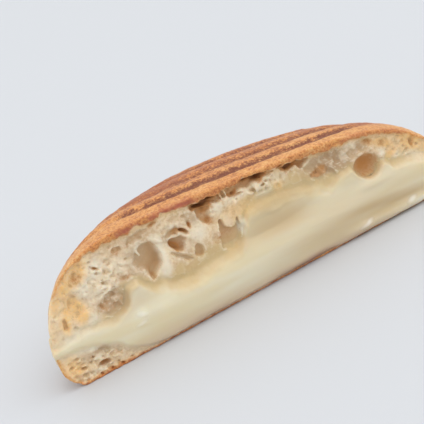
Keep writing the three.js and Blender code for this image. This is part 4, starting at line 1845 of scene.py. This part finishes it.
@dataclass
class Graph:
    """A node tree and short ways to add to it."""

    tree: bpy.types.NodeTree

    def add(
        self, kind: str, inputs: dict[str | int, object] | None = None, **settings: object
    ) -> bpy.types.Node:
        """Adds a node.

        Args:
            kind: The node's type.
            inputs: Values or sockets for its inputs.
            settings: The node's own settings.

        Returns:
            The node.
        """
        node = self.tree.nodes.new(kind)
        for label, value in settings.items():
            setattr(node, label, value)
        for label, value in (inputs or {}).items():
            if isinstance(value, bpy.types.NodeSocket):
                self.tree.links.new(value, node.inputs[label])
            else:
                node.inputs[label].default_value = value
        return node

    def math(self, operation: str, a: object, b: object = 0.0) -> bpy.types.NodeSocket:
        """A sum of two values, or another operation on them."""
        return self.add("ShaderNodeMath", {0: a, 1: b}, operation=operation).outputs[0]

    def step(
        self, value: object, low: float, high: float, a: float = 0.0, b: float = 1.0
    ) -> bpy.types.NodeSocket:
        """Eases from a to b while a value goes from low to high."""
        inputs = {"Value": value, "From Min": low, "From Max": high, "To Min": a, "To Max": b}
        return self.add("ShaderNodeMapRange", inputs, interpolation_type="SMOOTHSTEP").outputs[0]

    def blend(self, share: object, a: object, b: object) -> bpy.types.NodeSocket:
        """Mixes two colours."""
        inputs = {"Factor": share, 6: a, 7: b}
        return self.add("ShaderNodeMix", inputs, data_type="RGBA").outputs[2]

    def between(self, share: object, a: object, b: object) -> bpy.types.NodeSocket:
        """Mixes two values."""
        return self.add("ShaderNodeMix", {"Factor": share, 2: a, 3: b}).outputs[0]

    def noise(
        self, where: object, size: object, detail: float = 2.0, rough: float = 0.55
    ) -> bpy.types.NodeSocket:
        """Noise with lumps of a size in millimetres."""
        scale = self.math("DIVIDE", 1.0, size)
        inputs = {"Vector": where, "Scale": scale, "Detail": detail, "Roughness": rough}
        return self.add("ShaderNodeTexNoise", inputs).outputs["Fac"]

    def mask(self, name: str) -> bpy.types.NodeSocket:
        """A mask that the mesh carries."""
        return self.add("ShaderNodeAttribute", attribute_name=name).outputs["Fac"]

    def effect(
        self, tree: bpy.types.NodeTree, inputs: dict[str | int, object], masks: tuple[str, ...]
    ) -> bpy.types.Node:
        """Adds a shared effect.

        Args:
            tree: The effect's group.
            inputs: Values or sockets for its inputs.
            masks: The inputs that take the mask of the same name.

        Returns:
            The node.
        """
        node = self.add("ShaderNodeGroup", inputs, node_tree=tree)
        for label in masks:
            self.tree.links.new(self.mask(label.lower()), node.inputs[label])
        return node

    def millimetres(self) -> bpy.types.NodeSocket:
        """Places on the object in millimetres."""
        place = self.add("ShaderNodeTexCoord").outputs["Object"]
        scaled = self.add("ShaderNodeVectorMath", {0: place, "Scale": 1 / MM}, operation="SCALE")
        return scaled.outputs[0]


def group(
    name: str, inputs: dict[str, object], outputs: tuple[str, ...]
) -> tuple[Graph, dict, bpy.types.Node]:
    """Starts a shader node group.

    Args:
        name: The group's name.
        inputs: Names and defaults: a number, a colour of four or a vector of three.
        outputs: Names, each a colour if it ends in Color and a value otherwise.

    Returns:
        The group's graph, its inputs by name and its output node.
    """
    tree = bpy.data.node_groups.new(name, "ShaderNodeTree")
    for label, default in inputs.items():
        kind = "NodeSocketFloat"
        if isinstance(default, tuple):
            kind = "NodeSocketColor" if len(default) == 4 else "NodeSocketVector"
        socket = tree.interface.new_socket(label, in_out="INPUT", socket_type=kind)
        socket.default_value = default
    for label in outputs:
        kind = "NodeSocketColor" if label.endswith("Color") else "NodeSocketFloat"
        tree.interface.new_socket(label, in_out="OUTPUT", socket_type=kind)
    source = tree.nodes.new("NodeGroupInput")
    return Graph(tree), dict(source.outputs.items()), tree.nodes.new("NodeGroupOutput")


def baked_crust_group() -> bpy.types.NodeTree:
    """The browned crust: its colour from how far it is baked, and its fine blisters.

    Returns:
        The group.
    """
    graph, given, out = group(
        "baked_crust",
        {
            "Place": (0.0, 0.0, 0.0),
            "Toast": 0.5,
            "Char": 0.0,
            "Rust": 0.0,
            "Blister Size": 0.8,
            "Pale": srgb(228, 186, 124),
            "Golden": srgb(210, 143, 78),
            "Brown": srgb(160, 92, 54),
            "Burnt": srgb(120, 62, 34),
            "Rusty": srgb(168, 88, 66),
        },
        ("Color", "Height"),
    )
    blister = graph.noise(given["Place"], given["Blister Size"], 3.0, 0.7)
    broad = graph.noise(given["Place"], 4.0, 3.0, 0.6)
    speck = graph.step(blister, 0.3, 0.7, 0.3, -0.3)
    patch = graph.step(broad, 0.25, 0.75, -0.14, 0.14)
    baked = graph.math("ADD", graph.math("ADD", given["Toast"], speck), patch)
    color = graph.blend(graph.step(baked, -0.25, 0.55), given["Pale"], given["Golden"])
    color = graph.blend(graph.step(baked, 0.35, 1.0), color, given["Brown"])
    color = graph.blend(given["Rust"], color, given["Rusty"])
    broken = graph.math("ADD", given["Char"], graph.step(blister, 0.3, 0.7, 0.28, -0.28))
    color = graph.blend(graph.step(broken, 0.1, 1.05), color, given["Burnt"])
    graph.tree.links.new(color, out.inputs["Color"])
    graph.tree.links.new(blister, out.inputs["Height"])
    return graph.tree


def open_crumb_group() -> bpy.types.NodeTree:
    """Soft crumb: pale walls, soaked places, toasted places, painted shade in the cells and
    hollows, and painted light on the crests of the cell walls.

    Returns:
        The group.
    """
    graph, given, out = group(
        "open_crumb",
        {
            "Place": (0.0, 0.0, 0.0),
            "Soak": 0.0,
            "Cavity_Shade": 0.0,
            "Crest_Light": 0.0,
            "Brown": 0.0,
            "Gold": 0.0,
            "Pale": 0.0,
            "Painted_Shade": 0.0,
            "Cell Size": 1.0,
            "Wall": srgb(232, 208, 173),
            "Cell": srgb(214, 183, 143),
            "Crest": srgb(240, 227, 202),
            "Soaked": srgb(208, 180, 130),
            "Shade": srgb(176, 146, 113),
            "Golden": srgb(240, 194, 126),
            "Inside": srgb(196, 160, 118),
            "Toasted": srgb(190, 142, 92),
            "Baked": srgb(188, 130, 70),
            "Scorched_And_Shaded": srgb(100, 50, 22),
        },
        ("Color", "Height"),
    )
    fine = graph.noise(given["Place"], given["Cell Size"], 3.0, 0.7)
    broad = graph.noise(given["Place"], 4.0, 2.0)
    drifting = graph.step(broad, 0.3, 0.7, -0.3, 0.3)
    mottled = graph.math("ADD", graph.step(fine, 0.32, 0.66), drifting)
    color = graph.blend(mottled, given["Cell"], given["Wall"])
    color = graph.blend(graph.math("MULTIPLY", given["Soak"], 0.9), color, given["Soaked"])
    # Painted shade: hollows and folds darken towards the shade colour.
    color = graph.blend(graph.math("MULTIPLY", given["Painted_Shade"], 0.85), color, given["Shade"])
    # Pale cell walls, partly painted light on convex crests.
    color = graph.blend(graph.math("MULTIPLY", given["Crest_Light"], 0.5), color, given["Crest"])
    color = graph.blend(graph.math("MULTIPLY", given["Pale"], 0.85), color, given["Crest"])
    grainy = graph.step(fine, 0.3, 0.7, -0.2, 0.2)
    golden = graph.math("MULTIPLY", given["Gold"], graph.step(fine, 0.3, 0.7, 0.5, 1.0))
    color = graph.blend(golden, color, given["Golden"])
    browned = graph.step(graph.math("ADD", given["Brown"], grainy), 0.15, 0.8)
    color = graph.blend(browned, color, given["Toasted"])
    # Painted shade: the cavity mask darkens cells towards a shaded inside colour, or towards baked
    # brown where the crumb is browned.
    inside = graph.blend(graph.step(given["Brown"], 0.1, 0.6), given["Inside"], given["Baked"])
    color = graph.blend(given["Cavity_Shade"], color, inside)
    # Browned crumb deep in cells and slits turns near black: scorching and painted shade together.
    deep = graph.step(given["Cavity_Shade"], 0.1, 0.8)
    scorch_and_shade = graph.math("MULTIPLY", graph.step(given["Brown"], 0.6, 1.2), deep)
    color = graph.blend(scorch_and_shade, color, given["Scorched_And_Shaded"])
    graph.tree.links.new(color, out.inputs["Color"])
    graph.tree.links.new(fine, out.inputs["Height"])
    return graph.tree


def new_material(name: str) -> tuple[bpy.types.Material, Graph, bpy.types.Node]:
    """Starts a material.

    Args:
        name: Its name.

    Returns:
        The material, its graph and its shader.
    """
    material = bpy.data.materials.new(name)
    material.use_nodes = True
    graph = Graph(material.node_tree)
    return material, graph, material.node_tree.nodes["Principled BSDF"]


@dataclass(frozen=True)
class Flesh:
    """What bread and cheese have in common: light that sinks in, and a fine grain."""

    weight: float
    radius: tuple[float, float, float]
    depth: float
    specular: float = 0.4
    bump: float = 0.7
    grain: float = 0.0003

    def wire(self, graph: Graph, shader: bpy.types.Node, **sockets: bpy.types.NodeSocket) -> None:
        """Joins a finish to its shader.

        Args:
            graph: The material's graph.
            shader: The shader.
            sockets: The finish's color, rough and height.
        """
        relief = {"Height": sockets["height"], "Strength": self.bump, "Distance": self.grain}
        bump = graph.add("ShaderNodeBump", relief).outputs[0]
        graph.tree.links.new(sockets["color"], shader.inputs["Base Color"])
        graph.tree.links.new(sockets["rough"], shader.inputs["Roughness"])
        graph.tree.links.new(bump, shader.inputs["Normal"])
        shader.inputs["Specular IOR Level"].default_value = self.specular
        shader.inputs["Subsurface Weight"].default_value = self.weight
        shader.inputs["Subsurface Radius"].default_value = self.radius
        shader.inputs["Subsurface Scale"].default_value = self.depth


@dataclass(frozen=True)
class BreadFinish:
    """Crust where the crust mask is, and crumb elsewhere."""

    name: str
    crust: bpy.types.NodeTree
    crumb: bpy.types.NodeTree
    blister_size: float = 0.8
    cell_size: float = 1.0
    crust_roughness: float = 0.5
    crumb_roughness: float = 0.7
    soaked_roughness: float = 0.4
    flesh: Flesh = Flesh(0.35, (1.0, 0.6, 0.35), 0.0012)

    def dress(self, piece: bpy.types.Object) -> None:
        """Gives the piece its material.

        Args:
            piece: The bread.
        """
        material, graph, shader = new_material(self.name)
        place = graph.millimetres()
        crust = graph.effect(
            self.crust,
            {"Place": place, "Blister Size": self.blister_size},
            ("Toast", "Char", "Rust"),
        )
        crumb = graph.effect(
            self.crumb,
            {"Place": place, "Cell Size": self.cell_size},
            ("Soak", "Cavity_Shade", "Crest_Light", "Brown", "Gold", "Pale", "Painted_Shade"),
        )
        is_crust, soaked = graph.mask("crust"), graph.mask("soak")
        color = graph.blend(is_crust, crumb.outputs["Color"], crust.outputs["Color"])
        rough = graph.step(soaked, 0.0, 1.0, self.crumb_roughness, self.soaked_roughness)
        rough = graph.between(is_crust, rough, self.crust_roughness)
        height = graph.between(is_crust, crumb.outputs["Height"], crust.outputs["Height"])
        self.flesh.wire(graph, shader, color=color, rough=rough, height=height)
        piece.data.materials.append(material)


@dataclass(frozen=True)
class CheeseFinish:
    """Melted pale cheese with faint streaks along its flow, painted shade low down and in its
    recesses, painted glints, and a skin on soaked crumb.
    """

    crumb: bpy.types.NodeTree
    name: str = "melted_pale_cheese"
    body: Color = srgb(230, 221, 195)
    rich: Color = srgb(225, 210, 173)
    underside_shade: Color = srgb(205, 179, 152)
    tanned_and_shaded: Color = srgb(200, 172, 128)
    rust: Color = srgb(150, 106, 84)
    painted_glint: Color = srgb(250, 248, 242)
    wet_roughness: float = 0.12
    roughness: float = 0.28
    soaked_roughness: float = 0.4
    cell_size: float = 1.0
    flow: tuple[float, float, float] = (0.12, 1.0, 1.0)
    streak_size: float = 2.2
    streak_relief: float = 0.4
    cloud_size: float = 7.0
    flesh: Flesh = Flesh(0.5, (1.0, 0.7, 0.4), 0.002)

    def dress(self, piece: bpy.types.Object) -> None:
        """Gives the piece its material.

        Args:
            piece: The cheese.
        """
        material, graph, shader = new_material(self.name)
        place = graph.millimetres()
        flowing = graph.add("ShaderNodeMapping", {"Vector": place, "Scale": self.flow}).outputs[0]
        streak = graph.noise(flowing, self.streak_size, 4.0, 0.6)
        cloud = graph.noise(flowing, self.cloud_size, 2.0)
        color = graph.blend(graph.step(cloud, 0.35, 0.68), self.body, self.rich)
        color = graph.blend(graph.step(streak, 0.3, 0.75, 0.0, 0.3), color, self.rich)
        # Painted shade low on the cheese, where it curves under.
        color = graph.blend(graph.math("MULTIPLY", graph.mask("lower"), 0.8), color, self.underside_shade)
        color = graph.blend(graph.mask("rusty"), color, self.rust)
        # Tan tone and painted shade in recesses and the fold.
        color = graph.blend(graph.mask("tan_and_recess_shade"), color, self.tanned_and_shaded)
        # Painted glints: wet spots are whitened as well as made glossier.
        wet_and_painted_glint = graph.mask("wet_and_painted_glint")
        color = graph.blend(graph.math("MULTIPLY", wet_and_painted_glint, 0.85), color, self.painted_glint)
        crumb = graph.effect(
            self.crumb,
            {"Place": place, "Cell Size": self.cell_size},
            ("Soak", "Brown", "Gold", "Pale", "Painted_Shade"),
        )
        edge = graph.mask("edge")
        color = graph.blend(edge, color, crumb.outputs["Color"])
        rough = graph.step(edge, 0.0, 1.0, self.roughness, self.soaked_roughness)
        rough = graph.between(wet_and_painted_glint, rough, self.wet_roughness)
        faint = graph.math("MULTIPLY", streak, self.streak_relief)
        height = graph.between(edge, faint, crumb.outputs["Height"])
        self.flesh.wire(graph, shader, color=color, rough=rough, height=height)
        piece.data.materials.append(material)


# ---- Studio ----


@dataclass(frozen=True)
class Viewpoint:
    """The camera, rolled so that the roll leans up to the right."""

    azimuth: float = -20.0
    elevation: float = 22.0
    roll: float = 19.24
    distance: float = 310.9
    lens: float = 85.0
    aim: tuple[float, float, float] = (-12.97, 0.0, 32.61)

    def axes(self) -> tuple[Vector, Vector, Vector]:
        """The picture's right, its up, and the way back to the camera."""
        a, e, r = (math.radians(v) for v in (self.azimuth, self.elevation, self.roll))
        back = Vector((math.sin(a) * math.cos(e), -math.cos(a) * math.cos(e), math.sin(e)))
        level = Vector((0, 0, 1)).cross(back).normalized()
        upright = back.cross(level)
        right = level * math.cos(r) - upright * math.sin(r)
        up = level * math.sin(r) + upright * math.cos(r)
        return right, up, back

    def target(self) -> Vector:
        """What the camera looks at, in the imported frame."""
        return cut_origin() + Vector(self.aim) * MM

    def place_camera(self) -> None:
        """Adds the camera to the scene."""
        right, up, back = self.axes()
        camera = bpy.data.objects.new("camera", bpy.data.cameras.new("camera"))
        camera.data.lens = self.lens
        camera.data.sensor_width = 36.0
        camera.data.clip_start = 0.01
        turn = Matrix((right, up, back)).transposed().to_4x4()
        camera.matrix_world = Matrix.Translation(self.target() + back * self.distance * MM) @ turn
        bpy.context.scene.collection.objects.link(camera)
        bpy.context.scene.camera = camera


@dataclass(frozen=True)
class Lamp(ABC):
    """A lamp, hung in metres from the cut along the picture's axes."""

    name: str
    toward: tuple[float, float, float]

    @abstractmethod
    def light(self) -> bpy.types.Light:
        """What the lamp shines with."""

    def hang(self, view: Viewpoint) -> None:
        """Adds the lamp.

        Args:
            view: The camera whose axes place it.
        """
        offset = sum((axis * share for axis, share in zip(view.axes(), self.toward)), Vector())
        lamp = bpy.data.objects.new(self.name, self.light())
        lamp.location = cut_origin() + offset
        lamp.rotation_euler = (-offset).to_track_quat("-Z", "Y").to_euler()
        bpy.context.scene.collection.objects.link(lamp)


@dataclass(frozen=True)
class Sun(Lamp):
    """Broad daylight from one side."""

    spread: float
    strength: float

    def light(self) -> bpy.types.Light:
        """Even light from all over a disc in the sky."""
        light = bpy.data.lights.new(self.name, "SUN")
        light.energy = self.strength
        light.angle = math.radians(self.spread)
        return light


@dataclass(frozen=True)
class Window(Lamp):
    """A small bright square that gives wet surfaces their glints."""

    side: float
    watts: float

    def light(self) -> bpy.types.Light:
        """Light from a square."""
        light = bpy.data.lights.new(self.name, "AREA")
        light.energy = self.watts
        light.size = self.side
        return light


@dataclass(frozen=True)
class Studio:
    """Floor, daylight and lamps."""

    floor_color: Color = srgb(200, 200, 202)
    horizon: Color = srgb(224, 228, 231)
    overhead: float = 1.6
    floor_half: float = 8.0
    floor_roughness: float = 0.7
    lamps: tuple[Lamp, ...] = (
        Sun("key", (0.15, 0.85, 0.5), spread=70.0, strength=0.7),
        Window("glint", (-0.25, 0.75, 0.45), side=0.12, watts=0.35),
    )

    def build(self, view: Viewpoint) -> None:
        """Sets up everything round the roll.

        Args:
            view: The camera.
        """
        bpy.context.scene.view_settings.view_transform = "Standard"
        self.light_sky()
        self.lay_floor()
        for lamp in self.lamps:
            lamp.hang(view)

    def light_sky(self) -> None:
        """A pale sky that is brighter overhead."""
        world = bpy.data.worlds.new("daylight")
        world.use_nodes = True
        graph = Graph(world.node_tree)
        way = graph.add("ShaderNodeTexCoord").outputs["Generated"]
        height = graph.add("ShaderNodeSeparateXYZ", {0: way}).outputs["Z"]
        strength = graph.add(
            "ShaderNodeMapRange", {"Value": height, "To Min": 1.0, "To Max": self.overhead}
        ).outputs[0]
        sky = world.node_tree.nodes["Background"]
        sky.inputs["Color"].default_value = self.horizon
        graph.tree.links.new(strength, sky.inputs["Strength"])
        bpy.context.scene.world = world

    def lay_floor(self) -> None:
        """A pale floor that runs out past what the camera sees."""
        mesh = bpy.data.meshes.new("floor")
        half = self.floor_half
        corners = [(-half, -half, 0), (half, -half, 0), (half, half, 0), (-half, half, 0)]
        mesh.from_pydata(corners, [], [(0, 1, 2, 3)])
        floor = bpy.data.objects.new("floor", mesh)
        material, _, shader = new_material("pale_floor")
        shader.inputs["Base Color"].default_value = self.floor_color
        shader.inputs["Roughness"].default_value = self.floor_roughness
        mesh.materials.append(material)
        bpy.context.scene.collection.objects.link(floor)


def main() -> None:
    """Builds the roll, its finishes and the studio round it."""
    logging.basicConfig(level=logging.INFO, format="%(name)s %(message)s")
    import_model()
    view = Viewpoint()
    view.place_camera()
    Studio().build(view)
    crust, crumb = baked_crust_group(), open_crumb_group()
    cut = Cut(TopBread(), MeltedCheese(), BottomBread())
    BreadFinish("top_bread_crust_and_crumb", crust, crumb).dress(cut.crown.build(cut))
    BreadFinish("bottom_bread_crust_and_crumb", crust, crumb).dress(cut.heel.build(cut))
    CheeseFinish(crumb).dress(cut.cheese.build(cut))


if __name__ == "__main__":
    main()
